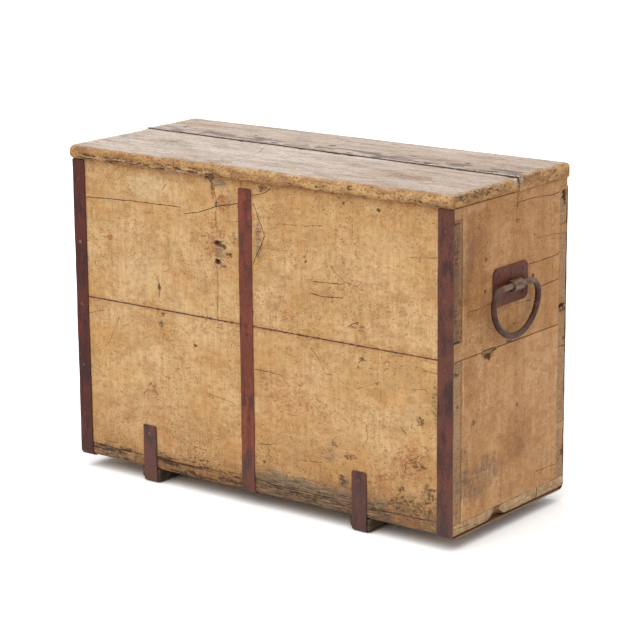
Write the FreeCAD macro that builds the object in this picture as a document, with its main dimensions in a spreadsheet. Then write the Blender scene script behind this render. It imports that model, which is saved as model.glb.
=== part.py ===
import FreeCAD, Part
import math
import os
import Sketcher

# Iron-bound plank chest: a dovetailed pine box on two iron-shod skids, three wrought
# iron bands that run down the front, under the bottom and up the back, a drop handle
# on each end and a two-plank lid on two wrought strap hinges.
#
# Frame: millimetres, +Z up, +X to the right of someone who faces the front, the front
# looks along -Y. The origin is on the floor, under the middle of the chest.

doc = FreeCAD.newDocument("plank_chest")
sheet = doc.addObject("Spreadsheet::Sheet", "Sizes")
parts = []


class Size:
    """A length that knows its number now and the sheet formula that drives it."""

    def __init__(self, number, formula):
        self.number = number
        self.formula = formula

    def __add__(self, other):
        other = as_size(other)
        return Size(self.number + other.number, "(%s + %s)" % (self.formula, other.formula))

    def __sub__(self, other):
        other = as_size(other)
        return Size(self.number - other.number, "(%s - %s)" % (self.formula, other.formula))

    def __mul__(self, other):
        other = as_size(other)
        return Size(self.number * other.number, "(%s * %s)" % (self.formula, other.formula))

    def __truediv__(self, other):
        other = as_size(other)
        return Size(self.number / other.number, "(%s / %s)" % (self.formula, other.formula))

    def __neg__(self):
        return Size(-self.number, "(0 - %s)" % self.formula)


def as_size(value):
    if isinstance(value, Size):
        return value
    return Size(float(value), "(%s)" % repr(float(value)))


def cell(alias, number):
    """Write one driving dimension into the sheet and hand it back as a Size."""
    row = len(cells) + 1
    sheet.set("A%d" % row, alias)
    sheet.set("B%d" % row, str(number))
    sheet.setAlias("B%d" % row, alias)
    cells.append(alias)
    return Size(float(number), "Sizes.%s" % alias)


cells = []
zero = as_size(0)

# ---- driving dimensions ------------------------------------------------------------

body_width = cell("body_width", 748)
body_depth = cell("body_depth", 309)
body_height = cell("body_height", 500)
plank = cell("plank_thickness", 21)
bottom_plank = cell("bottom_thickness", 20)
front_seam = cell("front_seam_height", 271)
back_seam = cell("back_seam_height", 293)
bottom_seam = cell("bottom_seam_back", 78)
seam_gap = cell("seam_gap", 0.8)
joint_gap = cell("joint_gap", 0.2)
edge_round = cell("bottom_edge_radius", 8)

pin_flare = cell("pin_flare", 4)
top_pin = cell("top_pin_height", 17)
seam_pin = cell("seam_pin_height", 28)
high_pin_drop = cell("high_pin_drop", 78)
high_pin = cell("high_pin_height", 14)
low_pin_place = cell("low_pin_place", 105)
low_pin = cell("low_pin_height", 11)

lock_hole_place = cell("lock_hole_place", -73)
lock_hole_drop = cell("lock_hole_drop", 105)
lock_hole_pitch = cell("lock_hole_pitch", 29)
lock_hole_radius = cell("lock_hole_radius", 4.5)
broken_place = cell("broken_notch_place", -41)
broken_width = cell("broken_notch_width", 40)
broken_height = cell("broken_notch_height", 16)
broken_depth = cell("broken_notch_depth", 15)

skid_width = cell("skid_width", 36)
skid_height = cell("skid_height", 20)
skid_bevel = cell("skid_bevel", 6)
left_skid_inset = cell("left_skid_inset", 153)
right_skid_inset = cell("right_skid_inset", 172)

iron = cell("band_thickness", 2.5)
band_width = cell("band_width", 26)
right_band_width = cell("right_band_width", 28.5)
middle_band_place = cell("middle_band_place", -15)
side_band_drop = cell("side_band_drop", 1)
middle_band_drop = cell("middle_band_drop", 12)
back_band_drop = cell("back_band_drop", 12)
band_nail_foot = cell("band_nail_foot", 50)
band_nail_drop = cell("band_nail_drop", 34)
BAND_NAILS = 5
foot_band_width = cell("foot_band_width", 28)
foot_band_height = cell("foot_band_height", 74)
foot_bend = cell("foot_bend_radius", 4)
foot_nail_drop = cell("foot_nail_drop", 14)

nail_head = cell("nail_head_across", 7)
nail_crown = cell("nail_crown_across", 3.2)
nail_rise = cell("nail_head_rise", 1.3)
nail_shank = cell("nail_shank_across", 2.8)
nail_point = cell("nail_point_across", 1)
nail_hole = cell("nail_hole_across", 3.0)
nail_length = cell("nail_length", 15)

handle_height = cell("handle_height", 363)
handle_place = cell("handle_place", -7)
plate_width = cell("plate_width", 95)
plate_height = cell("plate_height", 59)
plate_corner = cell("plate_corner", 8)
plate_iron = cell("plate_thickness", 3)
plate_nail_across = cell("plate_nail_across", 66)
plate_nail_apart = cell("plate_nail_apart", 38)
bail_bar = cell("bail_bar_radius", 5)
BAR_SIDES = 8
bail_top = cell("bail_straight_half", 38)
bail_corner = cell("bail_corner_radius", 23)
bail_side = cell("bail_side_radius", 50)
bail_standoff = cell("bail_standoff", 12)
eye_length = cell("eye_length", 27)
eye_wall = cell("eye_wall", 3.6)
eye_gap = cell("eye_running_gap", 0.08)
neck_height = cell("neck_height", 11)
neck_width = cell("neck_width", 20)
shank_across = cell("shank_across", 8)
rivet_length = cell("rivet_length", 2)
washer_across = cell("washer_across", 26)
washer_iron = cell("washer_thickness", 2.5)
old_hole_radius = cell("old_hole_radius", 3)
old_hole_across = cell("old_hole_across", 131)
old_hole_depth = cell("old_hole_depth", 12)

lid_left = cell("lid_left_overhang", 6)
lid_right = cell("lid_right_overhang", 4)
lid_front = cell("lid_front_overhang", 10)
lid_rear = cell("lid_rear_overhang", 5)
front_lid_plank = cell("front_lid_thickness", 22)
rear_lid_plank = cell("rear_lid_thickness", 24)
lid_seam_left = cell("lid_seam_left_place", 34)
lid_seam_right = cell("lid_seam_right_place", 9)
lid_seam_gap = cell("lid_seam_gap", 2.5)
lid_top_round = cell("lid_top_radius", 10)
lid_foot_round = cell("lid_foot_radius", 8)
lid_rear_round = cell("lid_rear_radius", 8)
lid_corner = cell("lid_corner_radius", 14)
lid_rear_corner = cell("lid_rear_corner_radius", 8)
batten_width = cell("batten_width", 36)
batten_thick = cell("batten_thickness", 16)
batten_gap = cell("batten_gap", 5)
seam_batten_near = cell("seam_batten_near", 22)
batten_strap_gap = cell("batten_strap_gap", 2.1)
lid_nail_near = cell("lid_nail_near_seam", 6)
lid_nail_margin = cell("lid_nail_margin", 18)
# The lid's nails, as shares of the box's width to the left or right of its middle.
NEAR_NAILS = (-0.352, -0.142, 0.068, 0.266)
FAR_NAILS = (-0.4385, -0.235, -0.019, 0.199, 0.34)

left_hinge_inset = cell("left_hinge_inset", 162)
right_hinge_inset = cell("right_hinge_inset", 226)
knuckle_radius = cell("knuckle_radius", 5)
knuckle_gap = cell("knuckle_lid_gap", 0.4)
hinge_iron = cell("hinge_thickness", 2.5)
hinge_pin_radius = cell("hinge_pin_radius", 2.2)
hinge_running = cell("hinge_running_gap", 0.07)
hinge_seat = cell("hinge_pin_seat_gap", 0.02)
leaf_width = cell("leaf_width", 42)
leaf_height = cell("leaf_height", 74)
strap_width = cell("strap_width", 28)
strap_length = cell("strap_length", 66)
middle_knuckle = cell("middle_knuckle_length", 14)
knuckle_side_gap = cell("knuckle_side_gap", 0.3)
strap_trim_gap = cell("strap_trim_gap", 0.9)
housing_gap = cell("housing_gap", 0.3)
leaf_nail_first = cell("leaf_nail_first", 20)
leaf_nail_pitch = cell("leaf_nail_pitch", 42)
strap_nail_first = cell("strap_nail_first", 36)
strap_nail_pitch = cell("strap_nail_pitch", 20)
doc.recompute()

# ---- places worked out from them ----------------------------------------------------

half_width = body_width / 2
half_depth = body_depth / 2
floor_lift = skid_height + iron
body_top = floor_lift + body_height
end_inner = half_width - plank
wall_inner = half_depth - plank
handle_axis = floor_lift + handle_height
axis_drop = knuckle_radius + knuckle_gap
hinge_axis_height = body_top - axis_drop
hinge_axis_back = half_depth + knuckle_radius
left_hinge_place = -half_width + left_hinge_inset
right_hinge_place = half_width - right_hinge_inset
left_skid_place = -half_width + left_skid_inset
right_skid_place = half_width - right_skid_inset
eye_radius = bail_bar + eye_gap + eye_wall
bail_waist = bail_top + bail_corner - bail_side
bail_bow = bail_side + bail_waist * math.sqrt(2)


# ---- small helpers -------------------------------------------------------------------

def bind(thing, prop, size):
    thing.setExpression(prop, as_size(size).formula)


def new_body(name):
    body = doc.addObject("PartDesign::Body", name)
    body.Label = name
    parts.append(body)
    return body


def place(body, across, back, up, turn=0):
    """Put a body at its place; turn is in degrees about the vertical."""
    body.Placement = FreeCAD.Placement(
        FreeCAD.Vector(across.number, back.number, up.number),
        FreeCAD.Rotation(FreeCAD.Vector(0, 0, 1), turn),
    )
    bind(body, ".Placement.Base.x", across)
    bind(body, ".Placement.Base.y", back)
    bind(body, ".Placement.Base.z", up)


def new_sketch(body, role, name, lift=zero, rise=zero):
    """A sketch on one of the body's own planes, lifted off it and moved up along it."""
    sketch = body.newObject("Sketcher::SketchObject", body.Name + "_" + name)
    plane = [item for item in body.Origin.OriginFeatures if item.Role == role][0]
    sketch.AttachmentSupport = [(plane, "")]
    sketch.MapMode = "FlatFace"
    sketch.AttachmentOffset = FreeCAD.Placement(
        FreeCAD.Vector(0, rise.number, lift.number), FreeCAD.Rotation()
    )
    bind(sketch, ".AttachmentOffset.Base.y", rise)
    bind(sketch, ".AttachmentOffset.Base.z", lift)
    return sketch


def hold(sketch, kind, line, end, size):
    """Tie one end of one line or arc to the sketch's origin by a sheet formula."""
    size = as_size(size)
    number = sketch.addConstraint(Sketcher.Constraint(kind, -1, 1, line, end, size.number))
    sketch.setExpression("Constraints[%d]" % number, size.formula)


def polygons(body, role, name, shapes, lift=zero, rise=zero):
    """Closed straight-sided outlines, every corner tied to the sheet."""
    sketch = new_sketch(body, role, name, lift, rise)
    for corners in shapes:
        first = sketch.GeometryCount
        count = len(corners)
        points = [FreeCAD.Vector(as_size(a).number, as_size(b).number, 0) for a, b in corners]
        for i in range(count):
            sketch.addGeometry(Part.LineSegment(points[i], points[(i + 1) % count]), False)
        for i in range(count):
            following = first + (i + 1) % count
            sketch.addConstraint(Sketcher.Constraint("Coincident", first + i, 2, following, 1))
        for i, (across, up) in enumerate(corners):
            hold(sketch, "DistanceX", first + i, 1, across)
            hold(sketch, "DistanceY", first + i, 1, up)
    return sketch


def circles(body, role, name, rounds, lift=zero):
    """Full circles, each given as (across, up, radius)."""
    sketch = new_sketch(body, role, name, lift)
    for across, up, radius in rounds:
        across, up, radius = as_size(across), as_size(up), as_size(radius)
        centre = FreeCAD.Vector(across.number, up.number, 0)
        ring = Part.Circle(centre, FreeCAD.Vector(0, 0, 1), radius.number)
        line = sketch.addGeometry(ring, False)
        hold(sketch, "DistanceX", line, 3, across)
        hold(sketch, "DistanceY", line, 3, up)
        number = sketch.addConstraint(Sketcher.Constraint("Radius", line, radius.number))
        sketch.setExpression("Constraints[%d]" % number, radius.formula)
    return sketch


def box_corners(low_across, low_up, high_across, high_up):
    return [
        (low_across, low_up),
        (high_across, low_up),
        (high_across, high_up),
        (low_across, high_up),
    ]


def square_at(across, up, side):
    across, up, half = as_size(across), as_size(up), side / 2
    return box_corners(across - half, up - half, across + half, up + half)


def pad(body, sketch, length, middle=True, back=False):
    feature = body.newObject("PartDesign::Pad", sketch.Name + "_pad")
    feature.Profile = sketch
    feature.Midplane = middle
    feature.Reversed = back
    bind(feature, "Length", length)
    sketch.Visibility = False
    return feature


def cut(body, sketch, depth):
    """Cut to both sides of the sketch by depth, and make sure that wood or iron went."""
    doc.recompute()
    before = body.Shape.Volume
    feature = body.newObject("PartDesign::Pocket", sketch.Name + "_cut")
    feature.Profile = sketch
    feature.Midplane = True
    bind(feature, "Length", as_size(depth) * 2)
    sketch.Visibility = False
    doc.recompute()
    if body.Shape.Volume >= before:
        raise RuntimeError(feature.Name + " cuts nothing")
    return feature


def edges_at(shape, spots):
    """Names of the edges whose middle is at one of the spots; None matches anything."""
    names = []
    for number, edge in enumerate(shape.Edges, 1):
        middle = edge.CenterOfMass
        found = (middle.x, middle.y, middle.z)
        for spot in spots:
            near = [s is None or abs(as_size(s).number - f) < 0.01 for s, f in zip(spot, found)]
            if all(near):
                names.append("Edge%d" % number)
                break
    return names


def fillet(body, radius, spots):
    doc.recompute()
    base = body.Tip
    names = edges_at(base.Shape, spots)
    if not names:
        raise RuntimeError("no edge to round on " + body.Name)
    feature = body.newObject("PartDesign::Fillet", body.Name + "_round%d" % len(body.Group))
    feature.Base = (base, names)
    bind(feature, "Radius", radius)
    return feature


# ---- dovetails -----------------------------------------------------------------------
# A pin belongs to an end board. It is as high as its sheet value on the outer face of
# the end and wider by the flare, above and below, on the inner face. Heights count from
# the underside of the box.

class Pin:
    def __init__(self, low, high):
        self.low = low
        self.high = high


low_pins = [Pin(low_pin_place - low_pin / 2, low_pin_place + low_pin / 2)]
high_pin_place = body_height - high_pin_drop
high_pins = [Pin(high_pin_place - high_pin / 2, high_pin_place + high_pin / 2)]
top_pins = [Pin(body_height - top_pin, body_height + pin_flare)]
seam_pins = [Pin(front_seam - pin_flare, front_seam + seam_pin)]
air = cell("cut_overrun", 3)
doc.recompute()


def waste(low, high, pins):
    """The wood sawn away between the pins of an end board, as seen from the front."""
    outer = plank + air
    lean = pin_flare * outer / plank
    shapes = []
    start = low - air
    flare_start = start
    for pin in pins:
        if pin.low.number > low.number:
            shapes.append([
                (zero, flare_start),
                (outer, start),
                (outer, pin.low - pin_flare + lean),
                (zero, pin.low - pin_flare),
            ])
        start = pin.high + pin_flare - lean
        flare_start = pin.high + pin_flare
    if start.number < high.number:
        shapes.append([
            (zero, flare_start),
            (outer, start),
            (outer, high + air),
            (zero, high + air),
        ])
    return shapes


def tailed_end(low, high, pins):
    """Right-hand end of a tail board, from its bottom corner up to its top corner."""
    corners = []
    inner = end_inner
    if not (pins and pins[0].low.number < low.number):
        corners.append((half_width, low))
    for pin in pins:
        if pin.low.number < low.number:
            corners.append((inner, low))
        else:
            corners.append((half_width, pin.low - joint_gap))
            corners.append((inner, pin.low - pin_flare - joint_gap))
        if pin.high.number > high.number:
            corners.append((inner, high))
        else:
            corners.append((inner, pin.high + pin_flare + joint_gap))
            corners.append((half_width, pin.high + joint_gap))
    if not (pins and pins[-1].high.number > high.number):
        corners.append((half_width, high))
    return corners


def tail_board(name, low, high, pins, front_face):
    """A front or back board; its ends are notched over the pins of the end boards."""
    body = new_body(name)
    right = tailed_end(low, high, pins)
    left = [(-across, up) for across, up in reversed(right)]
    pad(body, polygons(body, "XZ_Plane", "outline", [right + left]), plank)
    place(body, zero, front_face, floor_lift)
    return body


def end_board(name, low, high, front_pins, rear_pins, side):
    """An end board: a full-depth plank with the waste between its pins sawn out."""
    body = new_body(name)
    outline = box_corners(-half_depth, low, half_depth, high)
    pad(body, polygons(body, "YZ_Plane", "outline", [outline]), plank, middle=False)
    faces = [("front", half_depth, front_pins), ("rear", -half_depth, rear_pins)]
    if side < 0:
        faces = [("front", -half_depth, front_pins), ("rear", half_depth, rear_pins)]
    for where, lift, pins in faces:
        shapes = waste(low, high, pins)
        cut(body, polygons(body, "XZ_Plane", where + "_waste", shapes, lift), plank)
    place(body, end_inner * side, zero, floor_lift, 0 if side > 0 else 180)
    return body


# ---- the box -------------------------------------------------------------------------

front_middle = -half_depth + plank / 2
back_middle = half_depth - plank / 2
above_front_seam = front_seam + seam_gap
above_back_seam = back_seam + seam_gap

tail_board("front_board_lower", bottom_plank, front_seam, [], front_middle)
front_upper = tail_board(
    "front_board_upper", above_front_seam, body_height, seam_pins + top_pins, front_middle
)
lock_hole_high = body_height - lock_hole_drop
lock_holes = [
    (lock_hole_place, lock_hole_high, lock_hole_radius),
    (lock_hole_place, lock_hole_high - lock_hole_pitch, lock_hole_radius),
]
cut(front_upper, circles(front_upper, "XZ_Plane", "lock_holes", lock_holes), plank)

tail_board("back_board_lower", bottom_plank, back_seam, low_pins, back_middle)
back_upper = tail_board(
    "back_board_upper", above_back_seam, body_height, high_pins + top_pins, back_middle
)
housings = []
for hinge_place in (left_hinge_place, right_hinge_place):
    half_housing = strap_width / 2 + housing_gap
    housings.append(box_corners(
        hinge_place - half_housing,
        body_height - hinge_iron - housing_gap,
        hinge_place + half_housing,
        body_height + air,
    ))
cut(back_upper, polygons(back_upper, "XZ_Plane", "hinge_housings", housings), plank)

ends = {}
for side_name, side in (("left", -1), ("right", 1)):
    end_board(side_name + "_end_lower", bottom_plank, front_seam, [], low_pins, side)
    upper = end_board(
        side_name + "_end_upper",
        above_front_seam,
        body_height,
        seam_pins + top_pins,
        high_pins + top_pins,
        side,
    )
    hole = shank_across + joint_gap * 2
    centre = handle_place * side
    shank_hole = polygons(upper, "YZ_Plane", "shank_hole", [square_at(centre, handle_height, hole)])
    cut(upper, shank_hole, plank + air)
    ends[side_name] = upper

old_places = (
    handle_place - old_hole_across / 2,
    handle_place + old_hole_across / 2,
)
old_holes = [(across, handle_height, old_hole_radius) for across in old_places]
cut(
    ends["right"],
    circles(ends["right"], "YZ_Plane", "old_holes", old_holes, plank),
    old_hole_depth,
)

# ---- the bottom ----------------------------------------------------------------------

bottoms = (
    ("bottom_board_front", -half_depth, bottom_seam - seam_gap, -half_depth),
    ("bottom_board_rear", bottom_seam, half_depth, half_depth),
)
for name, near, far, outer in bottoms:
    body = new_body(name)
    outline = box_corners(-half_width, near, half_width, far)
    pad(body, polygons(body, "XY_Plane", "outline", [outline]), bottom_plank, middle=False)
    if name == "bottom_board_front":
        half_break = broken_width / 2
        shoulder = broken_height / 2
        broken = [
            (broken_place - half_break, -air),
            (broken_place + half_break, -air),
            (broken_place + half_break / 3, shoulder),
            (broken_place, broken_height),
            (broken_place - half_break / 2, shoulder),
        ]
        sketch = polygons(body, "YZ_Plane", "broken_edge", [broken], half_width)
        cut(body, sketch, broken_depth)
    spots = [(0, outer, 0), (half_width, None, 0), (-half_width, None, 0)]
    fillet(body, edge_round, spots)
    place(body, zero, zero, floor_lift)

# ---- skids, foot bands and main bands ------------------------------------------------

def u_outline(half_inner, thickness, foot, front_top, back_top):
    """Section of a strap bent into a U round the box, seen from the end."""
    half_outer = half_inner + thickness
    return [
        (-half_outer, foot),
        (half_outer, foot),
        (half_outer, back_top),
        (half_inner, back_top),
        (half_inner, foot + thickness),
        (-half_inner, foot + thickness),
        (-half_inner, front_top),
        (-half_outer, front_top),
    ]


def strap(name, across, width, foot, front_top, back_top, bend, nail_heights):
    """One iron strap bent round the box, with a square hole punched for each nail."""
    body = new_body(name)
    outline = u_outline(half_depth, iron, foot, front_top, back_top)
    pad(body, polygons(body, "YZ_Plane", "outline", [outline]), width)
    outer = half_depth + iron
    fillet(body, bend + iron, [(0, -outer, foot), (0, outer, foot)])
    fillet(body, bend, [(0, -half_depth, foot + iron), (0, half_depth, foot + iron)])
    holes = [square_at(zero, height, nail_hole) for height in nail_heights]
    cut(body, polygons(body, "XZ_Plane", "nail_holes", holes), half_depth + iron * 2)
    place(body, across, zero, floor_lift)
    return body


band_nail_pitch = (body_height - band_nail_drop - band_nail_foot) / (BAND_NAILS - 1)
band_nails = [band_nail_foot + band_nail_pitch * i for i in range(BAND_NAILS)]
left_band_place = -half_width + band_width / 2
right_band_place = half_width - right_band_width / 2
back_band_top = body_height - back_band_drop
side_band_top = body_height - side_band_drop
bands = (
    ("band_left", left_band_place, band_width, side_band_top),
    ("band_middle", middle_band_place, band_width, body_height - middle_band_drop),
    ("band_right", right_band_place, right_band_width, side_band_top),
)
for name, across, width, front_top in bands:
    strap(name, across, width, -iron, front_top, back_band_top, edge_round, band_nails)

skids = (("left", left_skid_place), ("right", right_skid_place))
foot_nail = foot_band_height - foot_nail_drop
for side_name, across in skids:
    body = new_body("skid_" + side_name)
    half_skid = skid_width / 2
    section = [
        (-half_skid + skid_bevel, -skid_height),
        (half_skid, -skid_height),
        (half_skid, zero),
        (-half_skid, zero),
        (-half_skid, -skid_height + skid_bevel),
    ]
    pad(body, polygons(body, "XZ_Plane", "section", [section]), body_depth)
    ends_low = [(None, -half_depth, -skid_height), (None, half_depth, -skid_height)]
    fillet(body, foot_bend, ends_low)
    place(body, across, zero, floor_lift)
    strap(
        "foot_band_" + side_name,
        across,
        foot_band_width,
        -floor_lift,
        foot_band_height,
        foot_band_height,
        foot_bend,
        [foot_nail],
    )

# ---- drop handles --------------------------------------------------------------------
# Each handle is built at its own pivot: local X points out of the chest's end, local Y
# runs along the pivot.

plate_back = -bail_standoff
plate_face = plate_back + plate_iron
plate_spots = []
for row in (-1, 1):
    for column in (-1, 1):
        plate_spots.append((plate_nail_across / 2 * column, plate_nail_apart / 2 * row))


def handle(side_name, side):
    across = (half_width + bail_standoff) * side
    turn = 0 if side > 0 else 180

    plate = new_body("handle_plate_" + side_name)
    wide = plate_width / 2
    tall = plate_height / 2
    outline = [
        (-wide + plate_corner, -tall),
        (wide - plate_corner, -tall),
        (wide, -tall + plate_corner),
        (wide, tall - plate_corner),
        (wide - plate_corner, tall),
        (-wide + plate_corner, tall),
        (-wide, tall - plate_corner),
        (-wide, -tall + plate_corner),
    ]
    sketch = polygons(plate, "YZ_Plane", "outline", [outline], plate_back)
    pad(plate, sketch, plate_iron, middle=False)
    holes = [square_at(a, b, nail_hole) for a, b in plate_spots]
    holes.append(square_at(zero, zero, shank_across + joint_gap * 2))
    cut(plate, polygons(plate, "YZ_Plane", "holes", holes, plate_back), plate_iron + air)
    place(plate, across, handle_place, handle_axis, turn)

    staple = new_body("handle_staple_" + side_name)
    pad(staple, circles(staple, "XZ_Plane", "eye", [(0, 0, eye_radius)]), eye_length)
    neck = box_corners(plate_face, -neck_height / 2, zero, neck_height / 2)
    pad(staple, polygons(staple, "XZ_Plane", "neck", [neck]), neck_width)
    half_shank = shank_across / 2
    shank_end = plate_back - plank - washer_iron - rivet_length
    shank = box_corners(shank_end, -half_shank, plate_face + air / 2, half_shank)
    pad(staple, polygons(staple, "XZ_Plane", "shank", [shank]), shank_across)
    bore = circles(staple, "XZ_Plane", "bore", [(0, 0, bail_bar + eye_gap)])
    cut(staple, bore, eye_length)
    place(staple, across, handle_place, handle_axis, turn)

    washer = new_body("handle_washer_" + side_name)
    seat = plate_back - plank - washer_iron
    ring = [
        square_at(zero, zero, washer_across),
        square_at(zero, zero, shank_across + joint_gap * 2),
    ]
    pad(washer, polygons(washer, "YZ_Plane", "outline", ring, seat), washer_iron, middle=False)
    place(washer, across, handle_place, handle_axis, turn)

    bail = new_body("handle_ring_" + side_name)
    pad(bail, circles(bail, "XZ_Plane", "journal", [(0, 0, bail_bar)]), bail_top * 2)
    bends = (
        ("far_corner", bail_top, bail_corner, 90, False),
        ("near_corner", -bail_top, -bail_corner, 90, True),
        ("far_side", bail_waist, bail_side, 45, True),
        ("near_side", -bail_waist, -bail_side, 45, False),
    )
    for name, centre, reach, angle, back in bends:
        section = polygons(bail, "XY_Plane", name, [bar_section(reach)], -bail_corner, centre)
        bend(bail, section, angle, back=back)
    bow_lift = bail_waist - bail_corner
    section = polygons(bail, "XZ_Plane", "bow", [bar_section(-bail_bow)], zero, bow_lift)
    bend(bail, section, 90, middle=True)
    place(bail, across, handle_place, handle_axis, turn)


def bar_section(reach):
    """Eight-sided section of the bail's bar, at a reach from the axis that it turns on."""
    half_flat = bail_bar * math.tan(math.pi / BAR_SIDES)
    return [
        (-bail_bar, reach - half_flat),
        (-half_flat, reach - bail_bar),
        (half_flat, reach - bail_bar),
        (bail_bar, reach - half_flat),
        (bail_bar, reach + half_flat),
        (half_flat, reach + bail_bar),
        (-half_flat, reach + bail_bar),
        (-bail_bar, reach + half_flat),
    ]


def bend(body, sketch, angle, back=False, middle=False):
    """Bar bent in an arc about the sketch's own level axis, one way or half each way."""
    feature = body.newObject("PartDesign::Revolution", sketch.Name + "_bend")
    feature.Profile = sketch
    feature.ReferenceAxis = (sketch, ["H_Axis"])
    feature.Angle = angle
    feature.Midplane = middle
    feature.Reversed = back
    sketch.Visibility = False


for side_name, side in (("left", -1), ("right", 1)):
    handle(side_name, side)

# ---- the lid -------------------------------------------------------------------------

lid_low = -half_width - lid_left
lid_high = half_width + lid_right
lid_near = -half_depth - lid_front
lid_far = half_depth + lid_rear

front_plank = new_body("lid_front_plank")
outline = [
    (lid_low, lid_near),
    (lid_high, lid_near),
    (lid_high, lid_seam_right),
    (lid_low, lid_seam_left),
]
pad(front_plank, polygons(front_plank, "XY_Plane", "outline", [outline]), front_lid_plank, False)
fillet(front_plank, lid_corner, [(lid_low, lid_near, None), (lid_high, lid_near, None)])
middle_across = (lid_low + lid_high) / 2
fillet(front_plank, lid_top_round, [(middle_across, lid_near, front_lid_plank)])
fillet(front_plank, lid_foot_round, [(middle_across, lid_near, 0)])
place(front_plank, zero, zero, body_top)

rear_plank = new_body("lid_rear_plank")
outline = [
    (lid_low, lid_seam_left + lid_seam_gap),
    (lid_high, lid_seam_right + lid_seam_gap),
    (lid_high, lid_far),
    (lid_low, lid_far),
]
pad(rear_plank, polygons(rear_plank, "XY_Plane", "outline", [outline]), rear_lid_plank, False)
fillet(rear_plank, lid_rear_corner, [(lid_low, lid_far, None), (lid_high, lid_far, None)])
fillet(rear_plank, lid_rear_round, [(middle_across, lid_far, rear_lid_plank)])
place(rear_plank, zero, zero, body_top)

seam_slope = (lid_seam_right - lid_seam_left) / (lid_high - lid_low)


def seam_at(across):
    """How far back the rear plank's edge is at a place along the lid."""
    return lid_seam_left + lid_seam_gap + seam_slope * (as_size(across) - lid_low)


cross_far = wall_inner - batten_gap
cross_outer = end_inner - batten_gap
cross_inner = cross_outer - batten_width
seam_batten_end = cross_inner - joint_gap
strap_end = hinge_axis_back - strap_length
seam_batten_far = strap_end - batten_strap_gap - seam_at(left_hinge_place - strap_width / 2)
lid_nail_far = seam_batten_far - lid_nail_margin
near_nails = [body_width * share for share in NEAR_NAILS]
far_nails = [body_width * share for share in FAR_NAILS]
seam_batten = [
    (-seam_batten_end, seam_at(-seam_batten_end) - seam_batten_near),
    (seam_batten_end, seam_at(seam_batten_end) - seam_batten_near),
    (seam_batten_end, seam_at(seam_batten_end) + seam_batten_far),
    (-seam_batten_end, seam_at(-seam_batten_end) + seam_batten_far),
]
battens = (
    ("lid_batten_left", box_corners(-cross_outer, -cross_far, -cross_inner, cross_far)),
    ("lid_batten_right", box_corners(cross_inner, -cross_far, cross_outer, cross_far)),
    ("lid_seam_batten", seam_batten),
)
for name, outline in battens:
    body = new_body(name)
    sketch = polygons(body, "XY_Plane", "outline", [outline])
    pad(body, sketch, batten_thick, middle=False, back=True)
    place(body, zero, zero, body_top)

# ---- strap hinges --------------------------------------------------------------------
# Each hinge is built at its own pin: local X runs along the pin, local Z is up.

leaf_face = -knuckle_radius
strap_top = axis_drop
leaf_nails = [-leaf_nail_first - leaf_nail_pitch * i for i in range(2)]
strap_nails = [-strap_nail_first - strap_nail_pitch * i for i in range(2)]


def hinge(side_name, across):
    leaf = new_body("hinge_back_leaf_" + side_name)
    plate = box_corners(leaf_face, -leaf_height, leaf_face + hinge_iron, zero)
    pad(leaf, polygons(leaf, "YZ_Plane", "plate", [plate]), leaf_width)
    pad(leaf, circles(leaf, "YZ_Plane", "knuckle", [(0, 0, knuckle_radius)]), leaf_width)
    gap = box_corners(
        -middle_knuckle / 2 - knuckle_side_gap,
        -knuckle_radius - knuckle_side_gap,
        middle_knuckle / 2 + knuckle_side_gap,
        knuckle_radius + air,
    )
    cut(leaf, polygons(leaf, "XZ_Plane", "middle_gap", [gap]), knuckle_radius + air)
    bore = circles(leaf, "YZ_Plane", "bore", [(0, 0, hinge_pin_radius + hinge_seat)])
    cut(leaf, bore, leaf_width)
    holes = [square_at(zero, height, nail_hole) for height in leaf_nails]
    cut(leaf, polygons(leaf, "XZ_Plane", "nail_holes", holes), knuckle_radius + air)
    place(leaf, across, hinge_axis_back, hinge_axis_height)

    strap_body = new_body("hinge_strap_" + side_name)
    narrow = box_corners(-strap_length, strap_top - hinge_iron, zero, strap_top)
    pad(strap_body, polygons(strap_body, "YZ_Plane", "strap", [narrow]), strap_width)
    trim = knuckle_radius + strap_trim_gap
    notches = []
    for hand in (-1, 1):
        inner = middle_knuckle / 2 * hand
        outer = (strap_width / 2 + air) * hand
        low, high = (outer, inner) if hand < 0 else (inner, outer)
        notches.append(box_corners(low, -trim, high, air))
    cut(strap_body, polygons(strap_body, "XY_Plane", "trim", notches), strap_top + air)
    knuckle = circles(strap_body, "YZ_Plane", "knuckle", [(0, 0, knuckle_radius)])
    pad(strap_body, knuckle, middle_knuckle)
    bore = circles(strap_body, "YZ_Plane", "bore", [(0, 0, hinge_pin_radius + hinge_running)])
    cut(strap_body, bore, leaf_width)
    holes = [square_at(zero, back, nail_hole) for back in strap_nails]
    cut(strap_body, polygons(strap_body, "XY_Plane", "nail_holes", holes), strap_top + air)
    place(strap_body, across, hinge_axis_back, hinge_axis_height)

    pin = new_body("hinge_pin_" + side_name)
    pad(pin, circles(pin, "YZ_Plane", "round", [(0, 0, hinge_pin_radius)]), leaf_width)
    place(pin, across, hinge_axis_back, hinge_axis_height)


for side_name, across in (("left", left_hinge_place), ("right", right_hinge_place)):
    hinge(side_name, across)

# ---- forged nails --------------------------------------------------------------------
# Square tapering shanks with a low four-sided head. Nails of one kind share a node.

def square_wire(side, up):
    half = side / 2.0
    corners = [(-half, -half), (half, -half), (half, half), (-half, half), (-half, -half)]
    return Part.makePolygon([FreeCAD.Vector(a, b, up) for a, b in corners])


def forged_nail(length):
    """A nail that stands on its head's underside at the origin and points down."""
    rim = square_wire(nail_head.number, 0)
    crown = square_wire(nail_crown.number, nail_rise.number)
    neck = square_wire(nail_shank.number, 0)
    point = square_wire(nail_point.number, -length)
    head = Part.makeLoft([rim, crown], True, True)
    shank = Part.makeLoft([point, neck], True, True)
    return head.fuse(shank).removeSplitter()


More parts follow.
